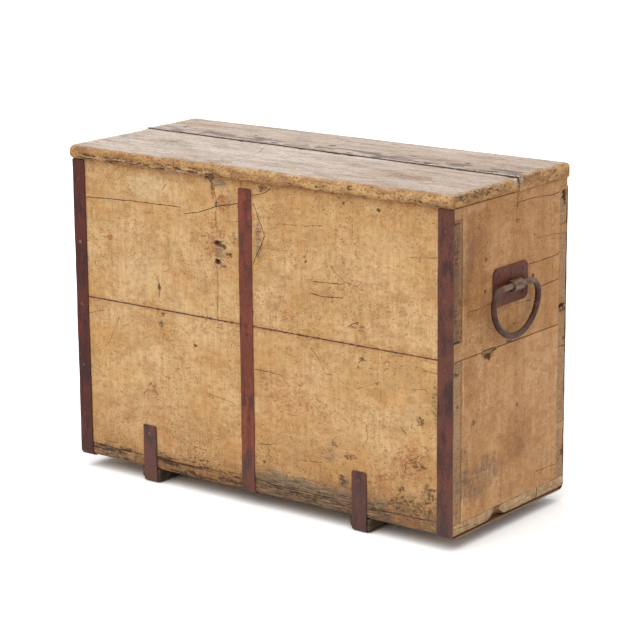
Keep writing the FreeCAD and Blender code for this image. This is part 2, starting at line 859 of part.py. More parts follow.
def nail_group(name, spots, length):
    """Nails at the spots; each spot is a point and the way that the head looks."""
    nails = []
    for point, outward in spots:
        nail = forged_nail(as_size(length).number)
        turn = FreeCAD.Rotation(FreeCAD.Vector(0, 0, 1), FreeCAD.Vector(*outward))
        where = FreeCAD.Vector(*[as_size(value).number for value in point])
        nail.Placement = FreeCAD.Placement(where, turn)
        nails.append(nail)
    group = doc.addObject("Part::Feature", name)
    group.Label = name
    group.Shape = Part.makeCompound(nails)
    group.Placement = FreeCAD.Placement()
    parts.append(group)
    return group


FRONT = (0, -1, 0)
BACK = (0, 1, 0)
UP = (0, 0, 1)
DOWN = (0, 0, -1)
iron_face = half_depth + iron

spots = []
for name, across, width, front_top in bands:
    for height in band_nails:
        spots.append(((across, -iron_face, floor_lift + height), FRONT))
        spots.append(((across, iron_face, floor_lift + height), BACK))
nail_group("band_nails", spots, nail_length)

spots = []
for side_name, across in skids:
    spots.append(((across, -iron_face, floor_lift + foot_nail), FRONT))
    spots.append(((across, iron_face, floor_lift + foot_nail), BACK))
nail_group("foot_band_nails", spots, nail_length)

spots = []
for side in (-1, 1):
    for along, rise in plate_spots:
        out = (half_width + plate_iron) * side
        spots.append(((out, handle_place + along, handle_axis + rise), (side, 0, 0)))
nail_group("handle_plate_nails", spots, nail_length)

spots = []
for across in (left_hinge_place, right_hinge_place):
    for height in leaf_nails:
        back = half_depth + hinge_iron
        spots.append(((across, back, hinge_axis_height + height), BACK))
nail_group("hinge_leaf_nails", spots, nail_length)

spots = []
for across in (left_hinge_place, right_hinge_place):
    for forward in strap_nails:
        spots.append(((across, hinge_axis_back + forward, body_top - hinge_iron), DOWN))
nail_group("hinge_strap_nails", spots, nail_length)

# The lid's own nails stand in two staggered rows, with their heads driven in flush.
lid_face = body_top + rear_lid_plank - nail_rise
spots = []
for across in near_nails:
    spots.append(((across, seam_at(across) + lid_nail_near, lid_face), UP))
for across in far_nails:
    spots.append(((across, seam_at(across) + lid_nail_far, lid_face), UP))
nail_group("lid_nails", spots, rear_lid_plank + nail_length / 2)

# ---- check and write -----------------------------------------------------------------

doc.recompute()
for thing in doc.Objects:
    if "Invalid" in thing.State or "Error" in thing.State:
        raise RuntimeError("%s failed: %s" % (thing.Name, thing.State))
os.makedirs("parts", exist_ok=True)
for part in parts:
    shape = part.Shape
    if shape.isNull() or not shape.isValid():
        raise RuntimeError(part.Label + " has no valid shape")
for part in parts:
    part.Shape.exportStep("parts/" + part.Label + ".step")
    print("%-24s %2d solids %10.1f mm3" % (part.Label, len(part.Shape.Solids), part.Shape.Volume))
print(len(parts), "nodes")
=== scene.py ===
import math
import bpy
import numpy as np
from mathutils import Matrix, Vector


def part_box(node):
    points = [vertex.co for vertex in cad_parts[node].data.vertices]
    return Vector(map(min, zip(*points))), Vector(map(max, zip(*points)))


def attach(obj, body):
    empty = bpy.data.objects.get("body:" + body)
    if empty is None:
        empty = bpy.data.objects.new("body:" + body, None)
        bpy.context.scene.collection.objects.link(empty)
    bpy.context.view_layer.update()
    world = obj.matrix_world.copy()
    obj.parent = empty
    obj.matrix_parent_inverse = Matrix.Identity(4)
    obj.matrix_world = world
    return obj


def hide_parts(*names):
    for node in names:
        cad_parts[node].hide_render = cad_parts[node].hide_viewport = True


# %% [markdown]
# # An iron-bound plank chest
# The chest is a dovetailed pine box under old ochre paint, held by three iron straps, on two
# skids, with a forged drop handle on each end and a lid of two planks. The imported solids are
# the frame that every piece here has to fit. Each piece is shaped in millimetres, as a maker
# would measure it, and its mesh is made in metres.

# %% Load the frame
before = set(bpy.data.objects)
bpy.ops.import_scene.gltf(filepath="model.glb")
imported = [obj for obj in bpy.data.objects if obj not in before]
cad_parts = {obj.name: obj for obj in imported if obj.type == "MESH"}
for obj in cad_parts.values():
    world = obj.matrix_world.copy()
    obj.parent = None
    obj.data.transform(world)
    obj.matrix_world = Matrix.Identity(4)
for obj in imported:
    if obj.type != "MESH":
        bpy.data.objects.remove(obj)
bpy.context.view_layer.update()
MM = 0.001


def box_mm(node):
    """Lowest and highest corner of a frame node, in millimetres."""
    low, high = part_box(node)
    return np.array(low) / MM, np.array(high) / MM


# %% [markdown]
# ## Where the box's faces are
# The straps, boards and handles are all placed from the box, so its faces are read off the
# frame once. Heights of marks and joints count from the underside of the box.

# %% Faces of the box
box_low, box_high = box_mm("bottom_board_front")
HALF_WIDTH = box_high[0]
UNDERSIDE = box_low[2]
BODY_TOP = box_mm("front_board_upper")[1][2]
HALF_DEPTH = box_mm("back_board_upper")[1][1]
PLANK = HALF_DEPTH - box_mm("back_board_upper")[0][1]
END_INNER = HALF_WIDTH - PLANK
WALL_INNER = HALF_DEPTH - PLANK
IRON = box_mm("band_left")[1][1] - HALF_DEPTH
box_size = (2 * HALF_WIDTH, 2 * HALF_DEPTH, BODY_TOP - UNDERSIDE)
print("box", *(round(side, 1) for side in box_size), "mm")

# %% [markdown]
# ## Camera
# The chest is seen from its right front corner, a little from above, through a long lens, so
# its upright edges stay almost parallel. The camera's axes are worked out from its turn about
# the vertical, its dip below the horizon and a very small roll.

# %% Camera
LENS = 132.49
FILM_WIDTH = 36.0
FAR_CLIP = 50.0
CAMERA_PLACE = (2.2358, -2.9087, 1.1888)
CAMERA_TURN = math.radians(37.42)
CAMERA_DIP = math.radians(14.01)
CAMERA_ROLL = math.radians(-0.431)


def camera_axes(turn, dip, roll):
    """Right, up and backward axes: the view direction is turned and dipped, then rolled."""
    ahead = np.array([-math.sin(turn) * math.cos(dip), math.cos(turn) * math.cos(dip),
                      -math.sin(dip)])
    level = np.array([math.cos(turn), math.sin(turn), 0.0])
    upward = np.cross(level, ahead)
    right = math.cos(roll) * level + math.sin(roll) * upward
    up = math.cos(roll) * upward - math.sin(roll) * level
    return right, up, -ahead


def put(name, data, place=(0.0, 0.0, 0.0), axes=None):
    """A new object in the scene, at a place and turned to three axes."""
    made = bpy.data.objects.new(name, data)
    if axes is not None:
        turned_to = Matrix(axes).transposed().to_4x4()
        made.matrix_world = Matrix.Translation(place) @ turned_to
    bpy.context.scene.collection.objects.link(made)
    return made


lens = bpy.data.cameras.new("camera")
lens.lens = LENS
lens.sensor_width = FILM_WIDTH
lens.clip_end = FAR_CLIP
axes = camera_axes(CAMERA_TURN, CAMERA_DIP, CAMERA_ROLL)
bpy.context.scene.camera = put("camera", lens, CAMERA_PLACE, axes)
bpy.context.scene.view_settings.view_transform = "Standard"
print("camera", CAMERA_PLACE, "with a lens of", LENS, "mm")

# %% [markdown]
# ## Node trees in words
# Every finish is a procedural material. A small helper keeps the trees readable: each call
# adds one node or a few, and hands back an output. Patterns read Object coordinates, which
# stay on the piece when it moves, and are sized in millimetres.

# %% Helper for materials
def tone(red, green, blue):
    """An sRGB colour of 0 to 255 as the linear colour that a shader wants."""
    linear = [((c / 255 + 0.055) / 1.055) ** 2.4 for c in (red, green, blue)]
    return (*linear, 1.0)


class Finish:
    """The node tree of a material or a world, which grows by short calls."""

    def __init__(self, owner):
        owner.use_nodes = True
        self.owner = owner
        self.tree = owner.node_tree
        self.tree.nodes.clear()
        self.places = self.add("ShaderNodeTexCoord", {}).outputs["Object"]

    def add(self, kind, feeds, **settings):
        """Adds one node, sets its options and feeds its sockets with values or outputs."""
        made = self.tree.nodes.new(kind)
        for key, value in settings.items():
            setattr(made, key, value)
        for key, value in feeds.items():
            if isinstance(value, bpy.types.NodeSocket):
                self.tree.links.new(value, made.inputs[key])
            else:
                made.inputs[key].default_value = value
        return made

    def spot(self, size, shift):
        """Object coordinates divided by a size in millimetres, and moved by a whole shift."""
        scale = [1 / (side * MM) for side in size]
        feeds = {"Vector": self.places, "Location": (shift, shift, shift), "Scale": scale}
        return self.add("ShaderNodeMapping", feeds).outputs["Vector"]

    def cloud(self, size, shift, detail=4, rough=0.55):
        """Noise whose features are about as big as size; its middle is 0.5."""
        feeds = {"Vector": self.spot(size, shift), "Scale": 1.0, "Detail": detail,
                 "Roughness": rough}
        return self.add("ShaderNodeTexNoise", feeds).outputs["Fac"]

    def dots(self, size, shift):
        """Distance to the nearest of scattered points."""
        feeds = {"Vector": self.spot(size, shift), "Scale": 1.0}
        return self.add("ShaderNodeTexVoronoi", feeds).outputs["Distance"]

    def ease(self, value, low, high, reach=1.0):
        """0 below low, reach above high and a smooth step between."""
        feeds = {"Value": value, "From Min": low, "From Max": high, "To Min": 0.0,
                 "To Max": reach}
        return self.add("ShaderNodeMapRange", feeds,
                        interpolation_type="SMOOTHSTEP").outputs["Result"]

    def patch(self, size, shift, detail, low, high, reach=1.0, rough=0.55):
        """Patches of noise, as strong as reach where the noise is past high."""
        return self.ease(self.cloud(size, shift, detail, rough), low, high, reach)

    def sum(self, first, second, how="ADD"):
        """Two numbers combined by a Math node."""
        return self.add("ShaderNodeMath", {0: first, 1: second}, operation=how).outputs[0]

    def times(self, first, second):
        """The product of two numbers."""
        return self.sum(first, second, "MULTIPLY")

    def relief(self, *parts):
        """Patterns added up, each by its weight in millimetres."""
        total = self.times(*parts[0])
        for pattern, weight in parts[1:]:
            how = "ADD" if weight > 0 else "SUBTRACT"
            total = self.sum(total, self.times(pattern, abs(weight)), how)
        return total

    def mix(self, share, first, second, how="MIX"):
        """The second colour over the first by share."""
        feeds = {0: share, 6: first, 7: second}
        return self.add("ShaderNodeMix", feeds, data_type="RGBA", blend_type=how).outputs[2]

    def layers(self, colour, rough, rows):
        """Patches laid over a colour: (size, shift, detail, from, to, share, tone) each."""
        for *noise, share, shown in rows:
            colour = self.mix(self.patch(*noise, share, rough), colour, shown)
        return colour

    def mark(self, name):
        """A number that the piece's mesh carries at its points."""
        return self.add("ShaderNodeAttribute", {}, attribute_name=name).outputs["Fac"]

    def ragged(self, name, noise, bite=2.2):
        """A mark of the mesh with its rim eaten by noise, and nothing where there is none."""
        bitten = self.times(self.sum(noise, 0.5, "SUBTRACT"), bite)
        cover = self.ease(self.sum(self.mark(name), bitten), 0.2, 0.8)
        return self.times(cover, self.ease(self.mark(name), 0.02, 0.2))

    def stains(self, colour, noise, rows):
        """Ragged marks of the mesh laid over a colour: (mark, share, tone) each."""
        for name, share, shown in rows:
            colour = self.mix(self.times(self.ragged(name, noise), share), colour, shown)
        return colour

    def crack(self):
        """The fine dark line where the mesh says that a crack runs; noise thins it."""
        vary = self.patch((13, 13, 13), 61, 3, 0.35, 0.6, 0.6)
        power = self.times(self.mark("line_power"), self.sum(vary, 0.5))
        width = self.times(power, 0.5)
        gap = self.sum(self.sum(self.mark("line"), 0.0, "ABSOLUTE"), width, "SUBTRACT")
        return self.times(self.ease(gap, 0.35, -0.2), self.ease(power, 0.0, 0.55))

    def close(self, colour, pattern, span, least, height, gloss, metal=0.0):
        """Ends the tree: colour, a roughness that goes from least up by a span where the
        pattern is high, a relief in millimetres, and how far it is glossy and metal."""
        rough = self.sum(self.ease(pattern, 0.3, 0.7, span), least)
        bump = self.add("ShaderNodeBump", {"Height": height, "Distance": MM, "Strength": 1.0})
        feeds = {"Base Color": colour, "Roughness": rough, "Normal": bump.outputs[0],
                 "Specular IOR Level": gloss, "Metallic": metal}
        self.end("ShaderNodeBsdfPrincipled", feeds, "ShaderNodeOutputMaterial")
        return self.owner

    def end(self, shader, feeds, output):
        """Adds the last shader and its output node."""
        self.add(output, {"Surface": self.add(shader, feeds).outputs[0]})


def new_finish(name):
    """A finish for a new material of this name."""
    return Finish(bpy.data.materials.new(name))


print("a tone of 128 is", round(tone(128, 128, 128)[0], 3), "in linear light")

# %% [markdown]
# ## Floor and light
# A plain pale floor carries the soft shadow, and an even white sky is the room. A sun as wide
# as a studio ceiling, from above and a little in front, lights the top most, the front less
# and the ends least. Rays that look straight at the floor or the sky find them
# white, while the light on the chest stays at a level that shows each colour as written.

# %% Floor
FLOOR_REACH = 14.0
FLOOR_TONE = 0.8
SKY_LIGHT = 0.55
SEEN_GAIN = 1.3


def seen_directly(look):
    """1 for a ray from the camera, a reflection or glass, and 0 for light on its way."""
    path = look.add("ShaderNodeLightPath", {}).outputs
    seen = look.sum(path["Is Camera Ray"], path["Is Glossy Ray"], "MAXIMUM")
    return look.sum(seen, path["Is Transmission Ray"], "MAXIMUM")


def plain_floor():
    """One square on the ground, lighter to a ray that looks straight at it."""
    mesh = bpy.data.meshes.new("floor")
    corners = np.array([(-1, -1), (1, -1), (1, 1), (-1, 1)]) * FLOOR_REACH
    mesh.from_pydata([(x, y, 0.0) for x, y in corners], [], [(0, 1, 2, 3)])
    look = new_finish("studio_floor")
    greys = [(level, level, level, 1.0) for level in (FLOOR_TONE, SEEN_GAIN)]
    tone_now = look.mix(seen_directly(look), *greys)
    look.end("ShaderNodeBsdfDiffuse", {"Color": tone_now}, "ShaderNodeOutputMaterial")
    mesh.materials.append(look.owner)
    floor = put("floor", mesh)


plain_floor()
print("a floor", 2 * FLOOR_REACH, "m wide")

# %% Sky and wide sun
SUN_FROM = (0.0, -0.34, 0.93)
SUN_WIDTH = math.radians(80)
SUN_STRENGTH = 2.05


def white_sky():
    """A white room: full white to a ray that looks at it, softer as a light."""
    world = bpy.data.worlds.new("studio")
    bpy.context.scene.world = world
    look = Finish(world)
    feeds = {"Value": seen_directly(look), "To Min": SKY_LIGHT, "To Max": 1.0}
    strength = look.add("ShaderNodeMapRange", feeds).outputs["Result"]
    feeds = {"Color": (1.0, 1.0, 1.0, 1.0), "Strength": strength}
    look.end("ShaderNodeBackground", feeds, "ShaderNodeOutputWorld")


def wide_sun(source, width, strength):
    """A sun whose disc is as wide as a ceiling; its back axis points at the source."""
    light = bpy.data.lights.new("ceiling", "SUN")
    light.angle = width
    light.energy = strength
    back = np.array(source) / np.linalg.norm(source)
    right = np.cross((0.0, 1.0, 0.0), back)
    right = right / np.linalg.norm(right)
    put("ceiling", light, axes=(right, np.cross(back, right), back))


white_sky()
wide_sun(SUN_FROM, SUN_WIDTH, SUN_STRENGTH)
print("sky at", SKY_LIGHT, "and a sun of", round(math.degrees(SUN_WIDTH)), "degrees")

# %% [markdown]
# ## Uneven surfaces
# Nothing on an old chest is straight or clean, and wear is never regular. Smooth random
# numbers that depend only on the place do this for geometry: they give worn rims, hammered
# iron and chipped paint, and come out the same each time.

# %% Smooth random numbers
def value_noise(points, size, seed):
    """Random values at the corners of cubes of this size, blended by 3t^2 - 2t^3."""
    grid = points / size
    cell = np.floor(grid).astype(np.int64)
    t = grid - cell
    t = t * t * (3 - 2 * t)
    total = np.zeros(len(points))
    for corner in np.ndindex(2, 2, 2):
        at = cell + corner
        key = at[:, 0] * 73856093 ^ at[:, 1] * 19349663 ^ at[:, 2] * 83492791 ^ seed * 2654435
        key = ((key ^ (key >> 13)) * 1274126177) & 0x7FFFFFFF
        key = (key ^ (key >> 16)) & 0xFFFF
        total += np.prod(np.where(corner, t, 1 - t), axis=1) * key / 0xFFFF
    return total


def cloudy(points, size, seed, octaves=3):
    """Noise from -1 to 1: each octave has half the size and half the strength of the last."""
    total = np.zeros(len(points))
    reach = 0.0
    for octave in range(octaves):
        share = 0.5 ** octave
        total += share * (2 * value_noise(points, np.array(size) * share, seed + octave) - 1)
        reach += share
    return total / reach


def ease(value, low, high):
    """0 at low and before, 1 at high and beyond, and 3t^2 - 2t^3 between."""
    t = np.clip((value - low) / (high - low), 0, 1)
    return t * t * (3 - 2 * t)


print("noise at the middle of the box:", round(cloudy(np.zeros((1, 3)), 20, 1)[0], 3))

# %% [markdown]
# ## Boards as blocks of cells
# A sawn board is a block with notches and holes. It could be a cube with booleans, but those
# leave long thin faces that can't carry wear. Here the block is a lattice of cells: cells
# are left out where the wood is sawn away, and a quad is drawn wherever a filled cell meets
# an empty one. The surface is closed, its faces point outwards, and its points are close
# enough for worn rims, chips and dents.

# %% Skin of a block of cells
def grid_lines(low, high, step, stops=(), fine=()):
    """Lines from low to high, about a step apart, one on each stop, closer in fine bands."""
    marks = [low, high, *stops]
    for start, end, _ in fine:
        marks += [start, end]
    marks = np.unique(np.round(np.clip(marks, low, high), 4))
    pieces = []
    for start, end in zip(marks[:-1], marks[1:]):
        middle = (start + end) / 2
        near = min([step] + [s for a, b, s in fine if a <= middle <= b])
        count = max(1, math.ceil((end - start) / near))
        pieces.append(np.linspace(start, end, count + 1)[:-1])
    return np.append(np.concatenate(pieces), marks[-1])


def rim_bands(low, high, reach, step):
    """Closer grid lines along both ends of a run."""
    return [(low, low + reach, step), (high - reach, high, step)]


def cell_skin(lines, holes=()):
    """Quads between filled and empty cells of a lattice; holes are boxes left empty."""
    counts = np.array([len(line) for line in lines])
    middles = [(line[:-1] + line[1:]) / 2 for line in lines]
    filled = np.zeros(counts + 1, bool)
    filled[1:-1, 1:-1, 1:-1] = True
    for low, high in holes:
        inside = [(m > low[k]) & (m < high[k]) for k, m in enumerate(middles)]
        filled[np.ix_(*[np.flatnonzero(one) + 1 for one in inside])] = False
    strides = np.array([counts[1] * counts[2], counts[2], 1])
    quads = []
    for axis in range(3):
        change = np.diff(filled.astype(np.int8), axis=axis)
        first, second = strides[(axis + 1) % 3], strides[(axis + 2) % 3]
        both = first + second
        for sign, order in ((1, (0, second, both, first)), (-1, (0, first, both, second))):
            cells = np.argwhere(change == sign) - 1
            cells[:, axis] += 1
            quads.append((cells @ strides)[:, None] + np.array(order))
    used, quads = np.unique(np.concatenate(quads), return_inverse=True)
    index = (used // strides[0], used // counts[2] % counts[1], used % counts[2])
    points = np.stack([line[i] for line, i in zip(lines, index)], axis=1)
    return points, quads.reshape(-1, 4)


def block_skin(low, high, *spacing):
    """A plain block; along each axis it has a step, and a closer one within reach of its
    rims: (step, reach, closer)."""
    return cell_skin([grid_lines(a, b, step, (), rim_bands(a, b, reach, closer))
                      for a, b, (step, reach, closer) in zip(low, high, spacing)])


print("a plain cell has", len(block_skin((0, 0, 0), (1, 1, 1), *[(1, 0, 1)] * 3)[1]), "quads")

# %% Wear of a block
def face_axes(axis):
    """The two axes that run along a board's faces, when this one runs through them."""
    return [k for k in range(3) if k != axis]


def inset_and_depth(points, low, high, axis):
    """How far each point is inside the board's outline, and inside its nearer face."""
    from_low, from_high = points - low, high - points
    first, second = face_axes(axis)
    inset = np.minimum.reduce([from_low[:, first], from_high[:, first], from_low[:, second],
                               from_high[:, second]])
    return inset, np.minimum(from_low[:, axis], from_high[:, axis])


def soften(points, low, high, axis, low_radius, high_radius):
    """Rounds a board's rims: near a rim, a point slides on to a quarter circle whose radius
    may change from place to place; the low and the high face have their own."""
    inset, depth = inset_and_depth(points, low, high, axis)
    lower = points[:, axis] < (low[axis] + high[axis]) / 2
    radius = np.where(lower, low_radius, high_radius)
    sideways = np.clip(radius - inset, 0, None)
    inward = np.clip(radius - depth, 0, None)
    length = np.maximum(np.hypot(sideways, inward), 1e-9)
    give = 1 - np.minimum(radius / length, 1)
    inset = inset + sideways * give
    depth = depth + inward * give
    for k in face_axes(axis):
        points[:, k] = np.clip(points[:, k], low[k] + inset, high[k] - inset)
    points[:, axis] = np.where(lower, low[axis] + depth, high[axis] - depth)


def round_corner(points, low, high, axis, radius, across, up, flat=0.0):
    """Turns one square corner of an outline into an arc: a point that is m from the arc's
    centre on a square ring goes to m on a round one, or on a flat chamfer by a share."""
    first, second = face_axes(axis)
    centre = [high[k] - radius if side > 0 else low[k] + radius
              for k, side in ((first, across), (second, up))]
    run = (points[:, first] - centre[0]) * across
    rise = (points[:, second] - centre[1]) * up
    ring = np.maximum(run, rise)
    arc = ring / np.maximum(np.hypot(run, rise), 1e-9)
    chamfer = ring / np.maximum(run + rise, 1e-9)
    scale = np.where((run > 0) & (rise > 0), (1 - flat) * arc + flat * chamfer, 1)
    points[:, first] = centre[0] + run * scale * across
    points[:, second] = centre[1] + rise * scale * up


def round_hole(points, axis, centre, radius):
    """Turns a square hole into a round one; the turn fades out at twice the radius."""
    first, second = face_axes(axis)
    run, rise = points[:, first] - centre[0], points[:, second] - centre[1]
    ring = np.maximum(np.abs(run), np.abs(rise))
    arc = ring / np.maximum(np.hypot(run, rise), 1e-9)
    scale = 1 + (arc - 1) * np.clip((2 * radius - ring) / radius, 0, 1)
    points[:, first] = centre[0] + run * scale
    points[:, second] = centre[1] + rise * scale


corner = np.full((1, 3), 10.0)
round_corner(corner, np.zeros(3), np.full(3, 10.0), 2, 4.0, 1, 1)
print("a corner at 10 mm, rounded by 4 mm, is now at", round(corner[0, 0], 2), "mm")

# %% Sink a surface into its material
def normals_of(points, quads):
    """Normal at each point: the crossed diagonals of its quads, added up and made one long."""
    crossed = np.cross(points[quads[:, 2]] - points[quads[:, 0]],
                       points[quads[:, 3]] - points[quads[:, 1]])
    total = np.stack([np.bincount(quads.ravel(), np.repeat(crossed[:, k], 4), len(points))
                      for k in range(3)], axis=1)
    return total / np.maximum(np.linalg.norm(total, axis=1, keepdims=True), 1e-12)


def sink(points, quads, amount):
    """Moves points into the material by an amount that is never below nought."""
    points -= normals_of(points, quads) * np.clip(amount, 0, None)[:, None]


points, quads = block_skin((0, 0, 0), (9, 9, 9), *[(3, 0, 3)] * 3)
sink(points, quads, np.ones(len(points)))
print("a cube of 9 mm, sunk by 1 mm, is", round(np.ptp(points[:, 0]), 2), "mm wide")

# %% Make a mesh of the arrays
def make_piece(node, kind, shape, material, marks, body="chest", crease=40):
    """Puts a shape in millimetres into a mesh in metres, named after its frame node, hangs it
    on its body and hides the node; the marks are numbers at its points, which the finish reads."""
    points, quads = shape
    mesh = bpy.data.meshes.new(node + kind)
    mesh.from_pydata((points * MM).tolist(), [], quads.tolist())
    mesh.shade_smooth()
    mesh.set_sharp_from_angle(angle=math.radians(crease))
    for key, values in marks.items():
        layer = mesh.attributes.new(key, "FLOAT", "POINT")
        layer.data.foreach_set("value", np.asarray(values, np.float32))
    mesh.materials.append(material)
    piece = put(node + kind, mesh)
    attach(piece, body)
    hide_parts(node)
    print("%-26s %6d quads" % (piece.name, len(mesh.polygons)))


print("meshes are made at", MM, "of the arrays' size")

# %% [markdown]
# ## Cracks, scratches and stains
# Paint this old is read by its damage. A crack could be drawn in the shader, but it is easier
# to say where it runs on the board. Each mark is a short polyline in millimetres. The mesh
# carries the signed distance to the nearest one, and the shader turns a distance near nought
# into a fine dark line, which stays sharp however near one looks.

# %% Lines and blots on a face
LINE_FADE = 3.0
NO_LINE = 9.0
FAR_OFF = 1e6


def polyline(across, up, path):
    """Signed distance to the nearest piece of a path, and how far a point is past its ends."""
    best = np.full(len(across), FAR_OFF)
    past = np.zeros(len(across))
    last = len(path) - 2
    for number, ((a, b), (c, d)) in enumerate(zip(path[:-1], path[1:])):
        run, rise = c - a, d - b
        long = math.hypot(run, rise)
        share = ((across - a) * run + (up - b) * rise) / long ** 2
        held = np.clip(share, 0, 1)
        aside, above = across - a - held * run, up - b - held * rise
        distance = np.hypot(aside, above) * np.where(run * above - rise * aside < 0, -1, 1)
        over = np.maximum(-share * long if number == 0 else 0,
                          (share - 1) * long if number == last else 0)
        nearer = np.abs(distance) < np.abs(best)
        best = np.where(nearer, distance, best)
        past = np.where(nearer, np.maximum(over, 0), past)
    return best, past


def draw_lines(across, up, rows, wander, seed):
    """Nearest of all lines and its strength; the lines wander by a little noise. Each row
    is a strength, and then place and height of point after point."""
    spots = np.stack([across, up, np.zeros(len(across))], axis=1)
    across = across + wander * cloudy(spots, 14, seed)
    up = up + wander * cloudy(spots, 14, seed + 7)
    line = np.full(len(across), NO_LINE)
    strength = np.zeros(len(across))
    for power, *path in rows:
        distance, past = polyline(across, up, list(zip(path[::2], path[1::2])))
        nearer = np.abs(distance) < np.abs(line)
        line = np.where(nearer, distance, line)
        strength = np.where(nearer, power * np.clip(1 - past / LINE_FADE, 0, 1), strength)
    return line, strength * (np.abs(line) < NO_LINE / 2)


def draw_blots(across, up, rows, seed, grain=16, bite=0.55):
    """Soft ragged ovals, each (power, place, height, half-length, half-height); the
    strongest counts. Noise as big as the grain bites into their rims."""
    spots = np.stack([across, up, np.zeros(len(across))], axis=1)
    ragged = bite * cloudy(spots, grain, seed, 4)
    total = np.zeros(len(across))
    for power, a, b, long, tall in rows:
        radius = np.hypot((across - a) / long, (up - b) / tall)
        total = np.maximum(total, power * ease(radius + ragged, 1.15, 0.55))
    return total


print("a line fades out over", LINE_FADE, "mm past its ends")

# %% [markdown]
# ## Finish of the painted boards
# The front and back wear a thin ochre paint over pine, crazed along the grain, with brown
# grime in every scratch. The ends had the same paint, but they are rubbed browner. One tree
# serves both and only its tones differ. The inside and the sawn edges are raw wood, so the
# mesh says where the paint is.

# %% Wood under the paint
RAW_PALE, RAW_DARK = tone(186, 150, 108), tone(128, 94, 62)
RAW_GREY = tone(150, 136, 116)
CRACK_BLACK = tone(58, 34, 22)


def raw_pine(look):
    """Bare pine: long stretched noise is its grain, broader noise its darker patches."""
    grain = look.cloud((160, 160, 3.2), 3, 5, 0.6)
    colour = look.mix(look.ease(grain, 0.35, 0.65), RAW_PALE, RAW_DARK)
    return look.mix(look.patch((60, 60, 40), 5, 4, 0.45, 0.7, 0.7), colour, RAW_GREY), grain


def rough_end_grain(look):
    """Sawn ends: fine crossed noise, dark in the pores and greyed by dirt."""
    pores = look.cloud((2.2, 2.2, 2.2), 11, 6, 0.7)
    colour = look.mix(look.ease(pores, 0.38, 0.62), tone(126, 98, 76), tone(206, 170, 140))
    rings = look.patch((4, 4, 26), 12, 4, 0.4, 0.62, 0.5)
    return look.mix(rings, colour, tone(168, 134, 106)), pores


print("raw pine from", *(round(value, 2) for value in RAW_PALE[:3]), "in linear light")

# %% Paint over it
PAINT_LAYERS = (
    ((48, 48, 60), 21, 3, 0.50, 0.70, 0.55, "orange"),
    ((60, 60, 44), 23, 5, 0.50, 0.68, 0.45, "greyed"),
    ((7, 7, 90), 4, 4, 0.40, 0.64, 0.34, "rubbed"),
    ((34, 34, 24), 33, 5, 0.48, 0.66, 0.55, "rubbed"),
    ((13, 13, 9), 25, 5, 0.46, 0.66, 0.58, "rubbed"),
    ((26, 26, 8), 29, 5, 0.52, 0.70, 0.5, "light"),
    ((3.4, 3.4, 26), 27, 4, 0.57, 0.70, 0.30, "grime"),
    ((6.5, 6.5, 4), 35, 5, 0.60, 0.68, 0.55, "grime"),
)


def old_paint(look, tones):
    """Ochre paint in thin layers of noise: broad blotches, upright rubbing and mottles; then
    level dashes, upright ticks and specks, more of them where the board is busy or shaded."""
    colour = look.mix(look.patch((90, 90, 70), 1, 3, 0.35, 0.65), tones["base"],
                      tones["light"])
    rows = [(*row, tones[key]) for *row, key in PAINT_LAYERS]
    colour = look.layers(colour, 0.62, rows)
    busy = look.patch((70, 70, 50), 31, 3, 0.35, 0.65, 0.75)
    level = look.patch((11, 11, 1), 7, 3, 0.61, 0.72, 0.7)
    upright = look.patch((1, 1, 9), 9, 3, 0.64, 0.74, 0.42)
    specks = look.patch((3.2, 3.2, 2.6), 15, 4, 0.56, 0.67, 0.9, 0.6)
    wear = look.sum(look.sum(level, upright, "MAXIMUM"), specks, "MAXIMUM")
    low_down = look.times(look.mark("shade"), 0.6)
    wear = look.times(wear, look.sum(busy, look.sum(low_down, 0.15)))
    return look.mix(wear, colour, tones["grime"]), wear


print("old paint has", len(PAINT_LAYERS), "layers over its two ground tones")

# %% Painted boards
def painted_board(name, tones):
    """Paint where the mesh says so, raw wood elsewhere, then stains, bare spots and lines."""
    look = new_finish(name)
    wood, grain = raw_pine(look)
    sawn, pores = rough_end_grain(look)
    wood = look.mix(look.mark("end"), wood, sawn)
    paint, wear = old_paint(look, tones)
    colour = look.mix(look.mark("paint"), wood, paint)
    soft = look.patch((9, 9, 20), 43, 6, 0.28, 0.68, rough=0.66)
    colour = look.mix(look.times(look.mark("scuff"), soft), colour, tones["scuff"])
    stains = (("bare", 0.8), ("warm", 0.75), ("pale", 0.7), ("dark", 0.85))
    colour = look.stains(colour, look.cloud((7, 7, 4.5), 41, 6, 0.68),
                         [(key, share, tones[key]) for key, share in stains])
    fibre = look.cloud((30, 30, 1.4), 47, 5, 0.66)
    frayed = look.sum(look.times(look.mark("scuff"), 0.4), look.mark("bare"), "MAXIMUM")
    for low, high, share, shown in ((0.45, 0.36, 0.6, tones["pale"]),
                                    (0.54, 0.60, 0.9, CRACK_BLACK)):
        cover = look.times(look.ease(fibre, low, high, share), frayed)
        colour = look.mix(cover, colour, shown)
    colour = look.mix(look.mark("shade"), colour, tones["shade"], "MULTIPLY")
    line = look.crack()
    colour = look.mix(line, colour, CRACK_BLACK)
    height = look.relief((grain, 0.25), (pores, 0.2), (wear, -0.3), (line, -0.9))
    return look.close(colour, look.cloud((40, 40, 40), 51, 3), 0.16, 0.68, height, 0.25)


